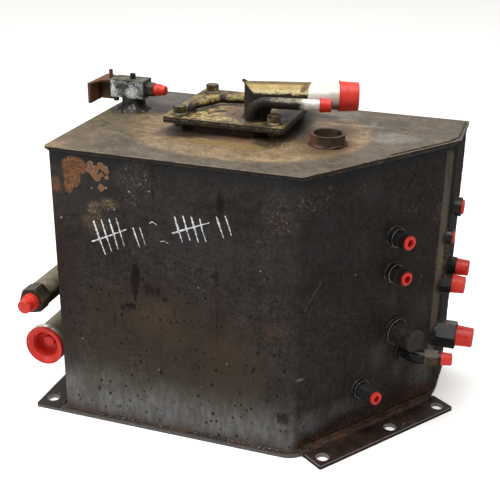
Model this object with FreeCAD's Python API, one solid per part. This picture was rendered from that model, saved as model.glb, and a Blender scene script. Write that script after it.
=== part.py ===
import FreeCAD, Part
import math
import os

# Hydraulic reservoir: a welded five-sided sheet-steel tank with a bolted access cover,
# return and suction tubes, a breather valve block, side ports and plastic shipping caps.
# Millimetres, +Z up. The origin is the middle of the tank's footprint, on the underside.

V = FreeCAD.Vector
os.makedirs("parts", exist_ok=True)

# ---------------------------------------------------------------- driving dimensions
TANK_WIDTH = 526.0
TANK_DEPTH = 326.0
FRONT_WIDTH = 361.0
SIDE_DEPTH = 95.5
WALL_HEIGHT = 415.0
SHEET = 3.0
BASE_T = 5.0
LID_T = 4.0
LID_OVERHANG = 4.0
BASE_LIP = 8.0
FOOT_T = 6.0
LEFT_FOOT_REACH = 47.0
RIGHT_FOOT_REACH = 48.5
FOOT_HOLE_R = 8.75
BEND_A = 5.0
BEND_B = 25.0
BEND_C = 45.0
GAP = 0.3

X0 = -TANK_WIDTH / 2
Y0 = -TANK_DEPTH / 2
WALL_Z0 = BASE_T
WALL_Z1 = BASE_T + WALL_HEIGHT
LID_TOP = WALL_Z1 + LID_T

# The five corners of the wall's outside, seen from above, starting front left.
CORNER_A = V(X0, Y0, 0)
CORNER_B = V(X0 + FRONT_WIDTH, Y0, 0)
CORNER_C = V(-X0, -Y0 - SIDE_DEPTH, 0)
CORNER_D = V(-X0, -Y0, 0)
CORNER_F = V(X0, -Y0, 0)

# Directions along and out of the slanted right-front panel.
ALONG = (CORNER_C - CORNER_B).normalize()
OUTWARD = V(ALONG.y, -ALONG.x, 0)
PANEL_LENGTH = (CORNER_C - CORNER_B).Length


# ---------------------------------------------------------------- shape helpers
def azimuth(degrees):
    """Horizontal unit vector at an angle from +X."""
    a = math.radians(degrees)
    return V(math.cos(a), math.sin(a), 0)


def placed(shape, origin, direction):
    """Turn a shape made along +Z so that it starts at origin and points along direction."""
    out = shape.copy()
    turn = FreeCAD.Rotation(V(0, 0, 1), direction)
    out.Placement = FreeCAD.Placement(origin, turn).multiply(out.Placement)
    return out


def rod(radius, start, direction, length):
    return Part.makeCylinder(radius, length, start, direction)


def tube(outer, inner, start, direction, length):
    return rod(outer, start, direction, length).cut(rod(inner, start, direction, length))


def box(x0, x1, y0, y1, z0, z1):
    return Part.makeBox(x1 - x0, y1 - y0, z1 - z0, V(x0, y0, z0))


def hexagon(across_flats, start, direction, height, spin=0.0):
    """Hexagonal prism with its long corners lightly turned down at both ends."""
    r = across_flats / math.sqrt(3)
    points = []
    for i in range(7):
        a = math.radians(60 * i + spin)
        points.append(V(r * math.cos(a), r * math.sin(a), 0))
    prism = Part.Face(Part.makePolygon(points)).extrude(V(0, 0, height))
    drop = (r - across_flats / 2) * 0.6
    profile = [(0, 0), (r - drop, 0), (r + 0.5, drop * 0.9), (r + 0.5, height - drop * 0.9)]
    profile += [(r - drop, height), (0, height)]
    return placed(prism.common(turned(profile)), start, direction)


def turned(profile, start=V(0, 0, 0), direction=V(0, 0, 1)):
    """Solid of revolution from (radius, height) points, turned about its own axis."""
    points = [V(r, 0, h) for r, h in profile]
    face = Part.Face(Part.makePolygon(points + [points[0]]))
    return placed(face.revolve(V(0, 0, 0), V(0, 0, 1), 360), start, direction)


def fillet_path(points, radii):
    """Edges of an open polyline whose inner corners are rounded."""
    edges = []
    start = points[0]
    for i in range(1, len(points) - 1):
        corner = points[i]
        back = (points[i - 1] - corner).normalize()
        ahead = (points[i + 1] - corner).normalize()
        half = back.getAngle(ahead) / 2
        reach = radii[i - 1] / math.tan(half)
        middle = corner + (back + ahead).normalize() * (radii[i - 1] / math.sin(half) - radii[i - 1])
        first = corner + back * reach
        last = corner + ahead * reach
        if (first - start).Length > 1e-6:
            edges.append(Part.LineSegment(start, first).toShape())
        edges.append(Part.Arc(first, middle, last).toShape())
        start = last
    edges.append(Part.LineSegment(start, points[-1]).toShape())
    return edges


def closed_outline(points, radii, z):
    """Wire of a closed polygon with every corner rounded."""
    middle = (points[0] + points[-1]) * 0.5
    edges = fillet_path([middle] + points + [middle], radii)
    wire = Part.Wire(edges)
    wire.translate(V(0, 0, z))
    return wire


def offset_outline(points, distances):
    """Move each side of an anticlockwise outline outwards by its own distance."""
    out = []
    count = len(points)
    for i in range(count):
        before, corner, after = points[i - 1], points[i], points[(i + 1) % count]
        first = (corner - before).normalize()
        second = (after - corner).normalize()
        a = corner + V(first.y, -first.x, 0) * distances[i - 1]
        b = corner + V(second.y, -second.x, 0) * distances[i]
        cross = first.x * second.y - first.y * second.x
        step = ((b.x - a.x) * second.y - (b.y - a.y) * second.x) / cross
        out.append(a + first * step)
    return out


def bent_pipe(points, bend, outer, inner):
    """Round pipe along straight runs joined by tangent bends."""
    path = Part.Wire(fillet_path(points, [bend] * (len(points) - 2)))
    direction = (points[1] - points[0]).normalize()
    solids = []
    for radius in (outer, inner):
        ring = Part.Wire(Part.makeCircle(radius, points[0], direction))
        solids.append(path.makePipeShell([ring], True, False))
    return solids[0].cut(solids[1])


def half_space(point, normal, size=400.0):
    return placed(Part.makeBox(size, size, size, V(-size / 2, -size / 2, 0)), point, normal)


def mitred_pipe(corner, toward_first, first_length, toward_second, second_length, outer, inner):
    """Two straight pipes cut at the bisecting plane and welded into an elbow."""
    normal = (toward_first - toward_second).normalize()
    first_side = half_space(corner, normal)
    second_side = half_space(corner, normal * -1)
    extra = outer * 1.5
    shapes = []
    for radius, over in ((outer, 0.0), (inner, 5.0)):
        first = rod(radius, corner - toward_first * extra, toward_first, first_length + extra + over)
        second = rod(radius, corner - toward_second * extra, toward_second, second_length + extra + over)
        shapes.append(first.common(first_side).fuse(second.common(second_side)))
    return shapes[0].cut(shapes[1]).removeSplitter()


def cap(start, direction, outer, inner, length, end=2.0, taper=0.6):
    """Push-on plastic cap: a cup, open at its start, with a thicker band at its mouth."""
    band = length * 0.36
    side = outer - 0.35 * taper
    profile = [(inner, 0), (outer - 0.4, 0), (outer, 0.5), (outer, band), (side, band + 0.5)]
    profile += [(outer - taper, length - 1.4), (outer - taper - 0.5, length - 0.5)]
    profile += [(outer - taper - 1.5, length), (0, length), (0, length - end), (inner, length - end)]
    return turned(profile, start, direction)


def plug(start, direction, flange, shank, depth, rim=3.0, wall=1.6):
    """Push-in plastic plug: a hollow shank that reaches back from a flange at its start."""
    bore = shank - wall
    profile = [(0, -depth), (shank, -depth), (shank, 0), (flange, 0), (flange, rim - 0.6)]
    profile += [(flange - 0.6, rim), (bore, rim), (bore, -depth + wall), (0, -depth + wall)]
    return turned(profile, start, direction)


def grooved(radius, start, direction, length, pitch, depth, bore):
    """Threaded nipple drawn as even rings round a bored rod."""
    profile = [(bore, 0), (radius - depth, 0)]
    count = int(length / pitch)
    for i in range(count):
        z = i * pitch
        profile += [(radius, z + pitch * 0.5), (radius - depth, z + pitch)]
    profile += [(radius - depth, length), (bore, length)]
    if abs(count * pitch - length) < 1e-6:
        profile.pop(-2)
    return turned(profile, start, direction)


def save(name, *shapes):
    shape = shapes[0] if len(shapes) == 1 else Part.makeCompound(list(shapes))
    shape.exportStep("parts/" + name + ".step")


# ---------------------------------------------------------------- tank body
SUCTION = {"y": -10.0, "z": 95.2, "r": 25.4, "bore": 22.9}
SUPPLY = {"y": -20.0, "z": 182.8, "r": 19.05, "bore": 16.5}
COVER_X = -54.5
COVER_Y = 45.5
COVER_OPENING_X = 77.0
COVER_OPENING_Y = 74.0
COVER_OPENING_CUT = 34.0
FILLER = V(94.4, -20.2, LID_TOP)
FILLER_R = 24.15
FILLER_BORE_R = 20.0
FILLER_HEIGHT = 15.4
VALVE = V(-232.7, 52.0, LID_TOP)
VALVE_PASSAGE_R = 5.0

# Ports on the slanted panel: distance along it from corner B, height, boss radius and depth.
PANEL_PORTS = {
    "upper": {"s": 172.0, "z": 301.0, "boss": 14.0, "deep": 8.0, "bore": 7.5},
    "middle": {"s": 172.0, "z": 246.2, "boss": 14.0, "deep": 8.0, "bore": 7.5},
    "blanked": {"s": 188.5, "z": 146.5, "boss": 20.0, "deep": 5.0, "bore": 12.0},
    "elbow": {"s": 208.0, "z": 107.0, "boss": 15.0, "deep": 6.0, "bore": 6.5},
    "drain": {"s": 123.5, "z": 70.5, "boss": 14.5, "deep": 6.0, "bore": 7.0},
}
# Ports on the short right wall: place along Y, height, boss radius and how far it stands out.
SIDE_PORTS = {
    "rear_top": {"y": 98.0, "z": 311.7, "boss": 14.3, "deep": 12.0, "bore": 9.0},
    "front_top": {"y": 71.0, "z": 273.6, "boss": 11.5, "deep": 5.7, "bore": 6.5},
    "rear_mid": {"y": 100.0, "z": 214.0, "boss": 15.5, "deep": 1.0, "bore": 6.5},
    "front_mid": {"y": 71.0, "z": 198.0, "boss": 15.5, "deep": -3.5, "bore": 7.0},
    "front_low": {"y": 71.0, "z": 112.0, "boss": 20.0, "deep": -2.5, "bore": 11.0},
}


def panel_point(port, off):
    """Point on a slanted-panel port's axis, a distance out from the panel."""
    p = PANEL_PORTS[port]
    return CORNER_B + ALONG * p["s"] + OUTWARD * off + V(0, 0, p["z"])


def side_point(port, off):
    """Point on a right-wall port's axis, a distance out from the wall."""
    p = SIDE_PORTS[port]
    return V(-X0 + off, p["y"], p["z"])


def port_bores(reach):
    """Every port's through hole in the wall, reaching inwards."""
    cuts = []
    for name, p in PANEL_PORTS.items():
        cuts.append(rod(p["bore"], panel_point(name, -reach), OUTWARD, 2 * reach))
    for name, p in SIDE_PORTS.items():
        cuts.append(rod(p["bore"], side_point(name, -2 * reach), V(1, 0, 0), 3 * reach))
    for pipe in (SUCTION, SUPPLY):
        cuts.append(rod(pipe["bore"], V(X0 - reach, pipe["y"], pipe["z"]), V(1, 0, 0), 2 * reach))
    return cuts


def tank_outline():
    return [CORNER_A, CORNER_B, CORNER_C, CORNER_D, CORNER_F]


def shell_wrap():
    """One bent sheet: left side, front, slanted panel and short right side."""
    outer = [CORNER_F, CORNER_A, CORNER_B, CORNER_C, CORNER_D]
    corners = offset_outline(tank_outline(), [-SHEET] * 5)
    inner = [V(-X0 - SHEET, -Y0, 0), corners[2], corners[1], corners[0], V(X0 + SHEET, -Y0, 0)]
    edges = fillet_path(outer, [BEND_A, BEND_B, BEND_C])
    edges.append(Part.LineSegment(CORNER_D, inner[0]).toShape())
    edges += fillet_path(inner, [BEND_C - SHEET, BEND_B - SHEET, BEND_A - SHEET])
    edges.append(Part.LineSegment(inner[-1], CORNER_F).toShape())
    face = Part.Face(Part.Wire(edges))
    face.translate(V(0, 0, WALL_Z0))
    return face.extrude(V(0, 0, WALL_HEIGHT)).cut(port_bores(20.0))


def tank_solid():
    """The tank's outer form as one solid block, for trimming what stands on it."""
    outline = closed_outline(tank_outline(), [BEND_A, BEND_B, BEND_C, 0.5, 0.5], WALL_Z0)
    return Part.Face(outline).extrude(V(0, 0, WALL_HEIGHT))


def back_panel():
    return box(X0 + SHEET, -X0 - SHEET, -Y0 - SHEET, -Y0, WALL_Z0, WALL_Z1)


def cover_opening(grow, z, height):
    """Square opening under the cover with its corners cut off beside the bolts."""
    x, y, c = COVER_OPENING_X, COVER_OPENING_Y, COVER_OPENING_CUT
    points = [V(c - x, -y, 0), V(x - c, -y, 0), V(x, c - y, 0), V(x, y - c, 0)]
    points += [V(x - c, y, 0), V(c - x, y, 0), V(-x, y - c, 0), V(-x, c - y, 0)]
    points = offset_outline(points, [grow] * 8)
    face = Part.Face(Part.makePolygon(points + [points[0]]))
    face.translate(V(COVER_X, COVER_Y, z))
    return face.extrude(V(0, 0, height))


def lid_plate():
    points = offset_outline(tank_outline(), [LID_OVERHANG] * 5)
    sheet = Part.Face(closed_outline(points, [5, 9, 5, 4, 4], WALL_Z1)).extrude(V(0, 0, LID_T))
    holes = [
        cover_opening(0.0, WALL_Z1, LID_T),
        rod(FILLER_BORE_R, V(FILLER.x, FILLER.y, WALL_Z1), V(0, 0, 1), LID_T),
        rod(VALVE_PASSAGE_R, V(VALVE.x, VALVE.y, WALL_Z1), V(0, 0, 1), LID_T),
    ]
    return sheet.cut(holes)


def base_outline():
    return offset_outline(tank_outline(), [BASE_LIP, BASE_LIP, 0.0, 0.0, BASE_LIP])


def base_plate():
    outline = closed_outline(base_outline(), [2, 34, 25, 3, 2], 0)
    return Part.Face(outline).extrude(V(0, 0, BASE_T))


def rounded_bar(corner, along, across, length, width, thick, radius):
    """Flat bar with rounded corners, from one corner and two directions."""
    end = corner + along * length
    points = [corner, end, end + across * width, corner + across * width]
    if along.cross(across).z < 0:
        points = [points[0], points[3], points[2], points[1]]
    return Part.Face(closed_outline(points, [radius] * 4, 0)).extrude(V(0, 0, thick))


LEFT_HOLE_OFF = 30.0
LEFT_HOLE_X = X0 - LEFT_HOLE_OFF
LEFT_HOLE_YS = (-148.4, 147.6)
RIGHT_HOLES_S = (29.0, 160.0, 259.6)
RIGHT_HOLE_OFF = 33.0
FOOT_CORNER_R = 2.5
LEFT_FOOT_START = Y0 - BASE_LIP
LEFT_FOOT_LENGTH = TANK_DEPTH + BASE_LIP
RIGHT_FOOT_START = 12.0
RIGHT_FOOT_LENGTH = 266.0


def left_foot():
    bar = rounded_bar(V(X0 - BASE_LIP, LEFT_FOOT_START, 0), V(-1, 0, 0), V(0, 1, 0),
                      LEFT_FOOT_REACH - BASE_LIP, LEFT_FOOT_LENGTH, FOOT_T, FOOT_CORNER_R)
    holes = [rod(FOOT_HOLE_R, V(LEFT_HOLE_X, y, 0), V(0, 0, 1), FOOT_T) for y in LEFT_HOLE_YS]
    return bar.cut(holes)


def right_foot():
    start = CORNER_B + ALONG * RIGHT_FOOT_START + OUTWARD * BASE_LIP
    bar = rounded_bar(start, ALONG, OUTWARD, RIGHT_FOOT_LENGTH, RIGHT_FOOT_REACH - BASE_LIP,
                      FOOT_T, FOOT_CORNER_R)
    holes = []
    for s in RIGHT_HOLES_S:
        centre = CORNER_B + ALONG * s + OUTWARD * RIGHT_HOLE_OFF
        holes.append(rod(FOOT_HOLE_R, centre, V(0, 0, 1), FOOT_T))
    return bar.cut(holes)


BAFFLE_X = -92.0
BAFFLE_TOP = 310.0
BAFFLE_HOLE_R = 14.0
NOTCH_YS = (-95.0, 95.0)
NOTCH_HALF = 30.0
NOTCH_H = 35.0


def baffle_plate():
    """Upright plate between the suction and return ends, with flow holes and bottom notches."""
    y_in = -Y0 - SHEET
    plate = box(BAFFLE_X, BAFFLE_X + SHEET, -y_in, y_in, WALL_Z0, BAFFLE_TOP)
    cuts = []
    for y in NOTCH_YS:
        y0 = y - NOTCH_HALF
        cuts.append(box(BAFFLE_X, BAFFLE_X + SHEET, y0, y0 + 2 * NOTCH_HALF, WALL_Z0, WALL_Z0 + NOTCH_H))
    for row in range(3):
        for column in range(4):
            centre = V(BAFFLE_X, -105 + 70 * column, 130 + 60 * row)
            cuts.append(rod(BAFFLE_HOLE_R, centre, V(1, 0, 0), SHEET))
    return plate.cut(cuts)


save("shell_wrap", shell_wrap())
save("back_panel", back_panel())
save("lid_plate", lid_plate())
save("base_plate", base_plate())
save("left_foot", left_foot())
save("right_foot", right_foot())
save("baffle_plate", baffle_plate())
save("filler_neck", tube(FILLER_R, FILLER_BORE_R, FILLER, V(0, 0, 1), FILLER_HEIGHT))

# ---------------------------------------------------------------- access cover
COVER_W = 180.0
COVER_D = 173.0
BOLT_SPAN_X = 142.0
BOLT_SPAN_Y = 134.0
COVER_NECK_H = 12.0
COVER_FLANGE_T = 3.0
GASKET_T = 1.0
COVER_T = 4.5
FLANGE_Z = LID_TOP + COVER_NECK_H
GASKET_Z = FLANGE_Z + COVER_FLANGE_T
COVER_Z = GASKET_Z + GASKET_T
COVER_TOP = COVER_Z + COVER_T
NUT_H = 8.0
NUT_Z = FLANGE_Z - NUT_H
BOLT_R = 5.0
BOLT_XS = (COVER_X - BOLT_SPAN_X / 2, COVER_X + BOLT_SPAN_X / 2)
BOLT_YS = (COVER_Y - BOLT_SPAN_Y / 2, COVER_Y + BOLT_SPAN_Y / 2)
BOLT_XY = [(x, y) for y in BOLT_YS for x in BOLT_XS]

RETURN = {"x": -17.5, "y": 8.0, "r": 19.05, "bore": 16.5, "rise": 31.8, "turn": 16.3, "length": 138.0}
BYPASS = {"x": -17.8, "y": -20.0, "r": 7.95, "bore": 6.2, "rise": 27.7, "turn": 10.6, "length": 107.2}
CROSS_R = 6.35
CROSS_BORE = 4.6
CROSS_RISE = 9.0
CROSS_XY = [(-115.0, -4.5), (-89.1, 49.3), (-32.0, 62.0)]


def square_sheet(z, thick, holes):
    corner = V(COVER_X - COVER_W / 2, COVER_Y - COVER_D / 2, 0)
    sheet = rounded_bar(corner, V(1, 0, 0), V(0, 1, 0), COVER_W, COVER_D, thick, 3.0)
    sheet.translate(V(0, 0, z))
    bolts = [(x, y, BOLT_R + 0.3) for x, y in BOLT_XY]
    cuts = [rod(r, V(x, y, z), V(0, 0, 1), thick) for x, y, r in bolts + holes]
    return sheet.cut(cuts)


def cover_bolt(x, y):
    """Hex flange bolt, head on the cover and shank down through its weld nut."""
    shank = rod(BOLT_R, V(x, y, NUT_Z + 0.2), V(0, 0, 1), COVER_TOP - NUT_Z - 0.2)
    collar = turned([(0, 0), (12.4, 0), (12.4, 1.4), (9.6, 3.6), (0, 3.6)], V(x, y, COVER_TOP))
    head = hexagon(17.0, V(x, y, COVER_TOP + 2.4), V(0, 0, 1), 10.5, spin=17 * (x + y) % 60)
    return shank.fuse([collar, head])


def weld_nut(x, y):
    start = V(x, y, NUT_Z)
    nut = hexagon(16.0, start, V(0, 0, 1), NUT_H, spin=15)
    return nut.cut(rod(BOLT_R + 0.05, start, V(0, 0, 1), NUT_H))


def cover_holes():
    ends = [(x, y, CROSS_BORE) for x, y in (CROSS_XY[0], CROSS_XY[-1])]
    tubes = [(t["x"], t["y"], t["bore"]) for t in (RETURN, BYPASS)]
    return ends + tubes


def opened_sheet(z, thick):
    return square_sheet(z, thick, []).cut(cover_opening(0.0, z, thick))


def cover_neck():
    """Low upright rim round the lid's opening."""
    outside = cover_opening(SHEET, LID_TOP, COVER_NECK_H)
    return outside.cut(cover_opening(0.0, LID_TOP, COVER_NECK_H))


save("cover_neck", cover_neck())
save("cover_flange", opened_sheet(FLANGE_Z, COVER_FLANGE_T))
save("cover_gasket", opened_sheet(GASKET_Z, GASKET_T))
save("cover_plate", square_sheet(COVER_Z, COVER_T, cover_holes()))
save("cover_bolts", *[cover_bolt(x, y) for x, y in BOLT_XY])
save("cover_weld_nuts", *[weld_nut(x, y) for x, y in BOLT_XY])

# ---------------------------------------------------------------- return tubes on the cover
DROP_R = 19.05
DROP_BORE = 16.5
DROP_END = 70.0
DIFFUSER_R = 34.0
DIFFUSER_Z = (40.0, 130.0)
DIFFUSER_WALL = 2.0


def return_elbow():
    corner = V(RETURN["x"], RETURN["y"], COVER_TOP + RETURN["rise"])
    return mitred_pipe(corner, V(0, 0, -1), RETURN["rise"], azimuth(RETURN["turn"]), RETURN["length"],
                       RETURN["r"], RETURN["bore"])


def bypass_tube():
    """Small tube that rises from the cover, bends and runs beside the large one."""
    foot = V(BYPASS["x"], BYPASS["y"], COVER_TOP)
    knee = foot + V(0, 0, BYPASS["rise"])
    return bent_pipe([foot, knee, knee + azimuth(BYPASS["turn"]) * BYPASS["length"]], 20.0, BYPASS["r"],
                     BYPASS["bore"])


def cross_tube():
    """Low tube that leaves the cover, runs back along it, turns right and re-enters it."""
    path = [V(*CROSS_XY[0], COVER_TOP)]
    path += [V(x, y, COVER_TOP + CROSS_RISE) for x, y in CROSS_XY]
    path += [V(*CROSS_XY[-1], COVER_TOP)]
    return bent_pipe(path, 8.6, CROSS_R, CROSS_BORE)


def diffuser():
    """Slotted can round the end of the return drop pipe."""
    z0, z1 = DIFFUSER_Z
    base = V(RETURN["x"], RETURN["y"], z0)
    body = rod(DIFFUSER_R, base, V(0, 0, 1), z1 - z0)
    hollow = z1 - z0 - 2 * DIFFUSER_WALL
    inside = rod(DIFFUSER_R - DIFFUSER_WALL, base + V(0, 0, DIFFUSER_WALL), V(0, 0, 1), hollow)
    neck = rod(DROP_R, base + V(0, 0, z1 - z0 - DIFFUSER_WALL), V(0, 0, 1), DIFFUSER_WALL)
    slots = []
    for i in range(8):
        for z in (z0 + 18, z0 + 48):
            slot = box(DIFFUSER_R - 6, DIFFUSER_R + 4, -4, 4, 0, 20)
            slot.rotate(V(0, 0, 0), V(0, 0, 1), 45 * i + 10)
            slot.translate(V(base.x, base.y, z))
            slots.append(slot)
    return body.cut([inside, neck] + slots)


RETURN_FOOT = V(RETURN["x"], RETURN["y"], DROP_END)
save("return_elbow", return_elbow())
save("bypass_tube", bypass_tube())
save("cross_tube", cross_tube())
save("return_drop_pipe", tube(DROP_R, DROP_BORE, RETURN_FOOT, V(0, 0, 1), COVER_Z - DROP_END))
save("return_diffuser", diffuser())

# ---------------------------------------------------------------- tubes on the left side
SIDE_TUBE_X = X0 - 40.8
SUCTION_END_Y = -140.5
SUPPLY_END_Y = -147.0
SUPPLY_HEX_LENGTH = 24.0


def side_elbow(pipe, end_y):
    """Mitred elbow that leaves the left wall and runs forward beside it."""
    corner = V(SIDE_TUBE_X, pipe["y"], pipe["z"])
    return mitred_pipe(corner, V(1, 0, 0), X0 - SIDE_TUBE_X, V(0, -1, 0), pipe["y"] - end_y,
                       pipe["r"], pipe["bore"])


def suction_ferrule():
    """Bright collar round the large tube's open end."""
    profile = [(25.4, 0), (30.0, 0.8), (31.2, 2.5), (31.2, 7.0), (30.2, 9.0), (25.4, 9.0)]
    return turned(profile, V(SIDE_TUBE_X, SUCTION_END_Y + 9.0, SUCTION["z"]), V(0, -1, 0))


def supply_adapter():
    """Hex adapter welded into the upper tube's end, with a bored nose."""
    start = V(SIDE_TUBE_X, SUPPLY_END_Y, SUPPLY["z"])
    head = hexagon(36.0, start, V(0, -1, 0), SUPPLY_HEX_LENGTH, spin=12)
    nose = rod(9.0, start, V(0, -1, 0), SUPPLY_HEX_LENGTH + 17)
    return head.fuse(nose).cut(rod(6.0, start, V(0, -1, 0), SUPPLY_HEX_LENGTH + 17))


PICKUP_LENGTH = 30.0
STRAINER_R = 38.0
STRAINER_LENGTH = 95.0
STRAINER_WALL = 3.0


def suction_pickup():
    start = V(X0 + SHEET, SUCTION["y"], SUCTION["z"])
    return tube(SUCTION["r"], SUCTION["bore"], start, V(1, 0, 0), PICKUP_LENGTH)


def suction_strainer():
    """Suction strainer on the pickup's end: a can with windows and closed end discs."""
    start = V(X0 + SHEET + PICKUP_LENGTH, SUCTION["y"], SUCTION["z"])
    along = V(1, 0, 0)
    body = rod(STRAINER_R, start, along, STRAINER_LENGTH)
    hollow = STRAINER_LENGTH - 2 * STRAINER_WALL
    inside = rod(STRAINER_R - STRAINER_WALL, start + along * STRAINER_WALL, along, hollow)
    mouth = rod(SUCTION["bore"], start, along, STRAINER_WALL)
    windows = []
    for i in range(12):
        window = box(15, STRAINER_LENGTH - 15, -5, 5, 30, 45)
        window.rotate(V(0, 0, 0), V(1, 0, 0), 30 * i)
        window.translate(start)
        windows.append(window)
    return body.cut([inside, mouth] + windows)


save("suction_elbow", side_elbow(SUCTION, SUCTION_END_Y))
save("suction_ferrule", suction_ferrule())
save("suction_pickup", suction_pickup())
save("suction_strainer", suction_strainer())
save("supply_elbow", side_elbow(SUPPLY, SUPPLY_END_Y))
save("supply_adapter", supply_adapter())

# ---------------------------------------------------------------- breather valve on the lid
VALVE_NECK_R = 15.8
VALVE_NECK_H = 19.5
BLOCK_X = (-264.0, -208.5)
BLOCK_Y = (36.7, 67.3)
BLOCK_H = 27.0
BLOCK_Z = LID_TOP + VALVE_NECK_H
BLOCK_TOP = BLOCK_Z + BLOCK_H
CHAMBER_R = 6.0
CHAMBER_TOP = BLOCK_Z + 20.0
SEAT_H = 4.0
POPPET_R = CHAMBER_R - GAP
BLEED_R = 3.5
SIDE_PORT = V(BLOCK_X[1], VALVE.y, BLOCK_Z + 13.0)
VALVE_HEX = 12.5
SPRING_R = 4.2
SPRING_WIRE_R = 0.5
SPRING_TURNS = 4.5
POPPET_Z = BLOCK_Z + SEAT_H - 1.9
POPPET_SHOULDER = 7.0
SPRING_Z = (POPPET_Z + POPPET_SHOULDER + 0.1, CHAMBER_TOP)
BLOCK_PLUG = V(-257.5, 43.0, BLOCK_Z)


def valve_block():
    body = box(*BLOCK_X, *BLOCK_Y, BLOCK_Z, BLOCK_TOP)
    upright = [e for e in body.Edges if abs(e.Vertexes[0].Z - e.Vertexes[1].Z) > 1]
    body = body.makeFillet(1.5, upright)
    up = V(0, 0, 1)
    cuts = [
        rod(CHAMBER_R, V(VALVE.x, VALVE.y, BLOCK_Z), up, CHAMBER_TOP - BLOCK_Z),
        rod(BLEED_R, V(VALVE.x, VALVE.y, CHAMBER_TOP), up, BLOCK_TOP - CHAMBER_TOP),
        rod(4.0, V(VALVE.x, VALVE.y, SIDE_PORT.z), V(1, 0, 0), SIDE_PORT.x - VALVE.x),
        rod(3.0, BLOCK_PLUG, up, 10),
    ]
    return body.cut(cuts)


def valve_poppet():
    """Disc with a coned nose in the seat and a spigot that centres the spring."""
    profile = [(0, 0), (2.0, 0), (3.6, 1.6), (4.0, 2.3), (POPPET_R, 2.9), (POPPET_R, POPPET_SHOULDER)]
    profile += [(3.2, POPPET_SHOULDER), (3.2, POPPET_SHOULDER + 2), (0, POPPET_SHOULDER + 2)]
    return turned(profile, V(VALVE.x, VALVE.y, POPPET_Z))


def valve_seat():
    profile = [(2.6, 0), (CHAMBER_R, 0), (CHAMBER_R, SEAT_H), (4.3, SEAT_H), (2.6, SEAT_H - 1.8)]
    return turned(profile, V(VALVE.x, VALVE.y, BLOCK_Z))


def valve_spring():
    z0, z1 = SPRING_Z
    height = z1 - z0 - 2 * SPRING_WIRE_R
    helix = Part.makeHelix(height / SPRING_TURNS, height, SPRING_R)
    start = Part.Wire(Part.makeCircle(SPRING_WIRE_R, V(SPRING_R, 0, 0), V(0, 1, 0)))
    coil = Part.Wire(helix).makePipeShell([start], True, True)
    coil.translate(V(VALVE.x, VALVE.y, z0 + SPRING_WIRE_R))
    return coil


def valve_neck():
    return tube(VALVE_NECK_R, VALVE_PASSAGE_R, VALVE, V(0, 0, 1), VALVE_NECK_H)


def top_plug():
    start = V(VALVE.x, VALVE.y, BLOCK_TOP)
    shank = rod(BLEED_R, start - V(0, 0, 5.5), V(0, 0, 1), 5.5)
    return shank.fuse(hexagon(7.5, start, V(0, 0, 1), 8.0, spin=20))


def bottom_plug():
    shank = rod(3.0, BLOCK_PLUG, V(0, 0, 1), 9.0)
    return shank.fuse(hexagon(7.5, BLOCK_PLUG - V(0, 0, 7), V(0, 0, 1), 7.0, spin=8))


def valve_adapter():
    head = hexagon(19.0, SIDE_PORT, V(1, 0, 0), VALVE_HEX, spin=0)
    nose = rod(5.6, SIDE_PORT, V(1, 0, 0), VALVE_HEX + 14)
    return head.fuse(nose).cut(rod(4.0, SIDE_PORT, V(1, 0, 0), VALVE_HEX + 14))


BRACKET_T = 4.0
BRACKET_X = -294.0
BRACKET_Z = (434.0, 462.0)
FLANGE_T = 3.0
BRACKET_Y = (20.0, 88.0)
TAB_X = -284.0
BRACKET_SCREW = V(-276.5, 66.0, BRACKET_Z[1] + FLANGE_T)


def bracket():
    """Folded strap: a side leaf, a cross leaf against the block and a tapered top flange."""
    z0, z1 = BRACKET_Z
    y0, y1 = BRACKET_Y
    side = box(BRACKET_X, BRACKET_X + BRACKET_T, *BRACKET_Y, z0, z1)
    cross = box(BRACKET_X + BRACKET_T, BLOCK_X[0], 57, 61, z0, z1)
    notch = box(BLOCK_X[0] - 7, BLOCK_X[0], 57, 61, z1 - 7, z1)
    rim = [(BRACKET_X, y0), (BRACKET_X + BRACKET_T, y0), (TAB_X, 46), (BLOCK_X[0], 54), (BLOCK_X[0], 76)]
    rim += [(TAB_X, y1), (BRACKET_X, y1)]
    face = Part.Face(Part.makePolygon([V(x, y, z1) for x, y in rim + rim[:1]]))
    tab = face.extrude(V(0, 0, FLANGE_T))
    hole = rod(3.1, V(BRACKET_SCREW.x, BRACKET_SCREW.y, z1), V(0, 0, 1), FLANGE_T)
    return side.fuse([cross.cut(notch), tab]).removeSplitter().cut(hole)


def bracket_screw():
    """Screw with its head under the tab and its end standing up through it."""
    up = V(0, 0, 1)
    head = hexagon(9.0, BRACKET_SCREW - V(0, 0, FLANGE_T + 4), up, 4.0)
    return head.fuse(rod(3.0, BRACKET_SCREW - V(0, 0, FLANGE_T), up, FLANGE_T + 13.0))


save("valve_neck", valve_neck())
save("valve_block", valve_block())
save("valve_seat", valve_seat())
save("valve_poppet", valve_poppet())
save("valve_spring", valve_spring())
save("valve_top_plug", top_plug())
save("valve_bottom_plug", bottom_plug())
save("valve_adapter", valve_adapter())
save("bracket", bracket())
save("bracket_screw", bracket_screw())

# ---------------------------------------------------------------- ports on the right
ELBOW_TURN = 9.8
ELBOW_KNEE = 23.0
ELBOW_NUT = (15.0, 35.0)
ELBOW_RING = (35.3, 39.0)
ELBOW_NOSE = 53.0
ELBOW_R = 10.5
BIG_HEX = 38.0
SIDE_HEX = 27.0


def weld_bosses():
    """Round weld-on bosses, each trimmed to the wall that it stands on."""
    body = tank_solid()
    out = []
    for name, p in PANEL_PORTS.items():
        out.append(tube(p["boss"], p["bore"], panel_point(name, 0), OUTWARD, p["deep"]))
    for name, p in SIDE_PORTS.items():
        ring = tube(p["boss"], p["bore"], side_point(name, -30), V(1, 0, 0), 30 + p["deep"])
        out.append(ring.cut(body))
    return [s for shape in out for s in shape.Solids]


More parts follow.
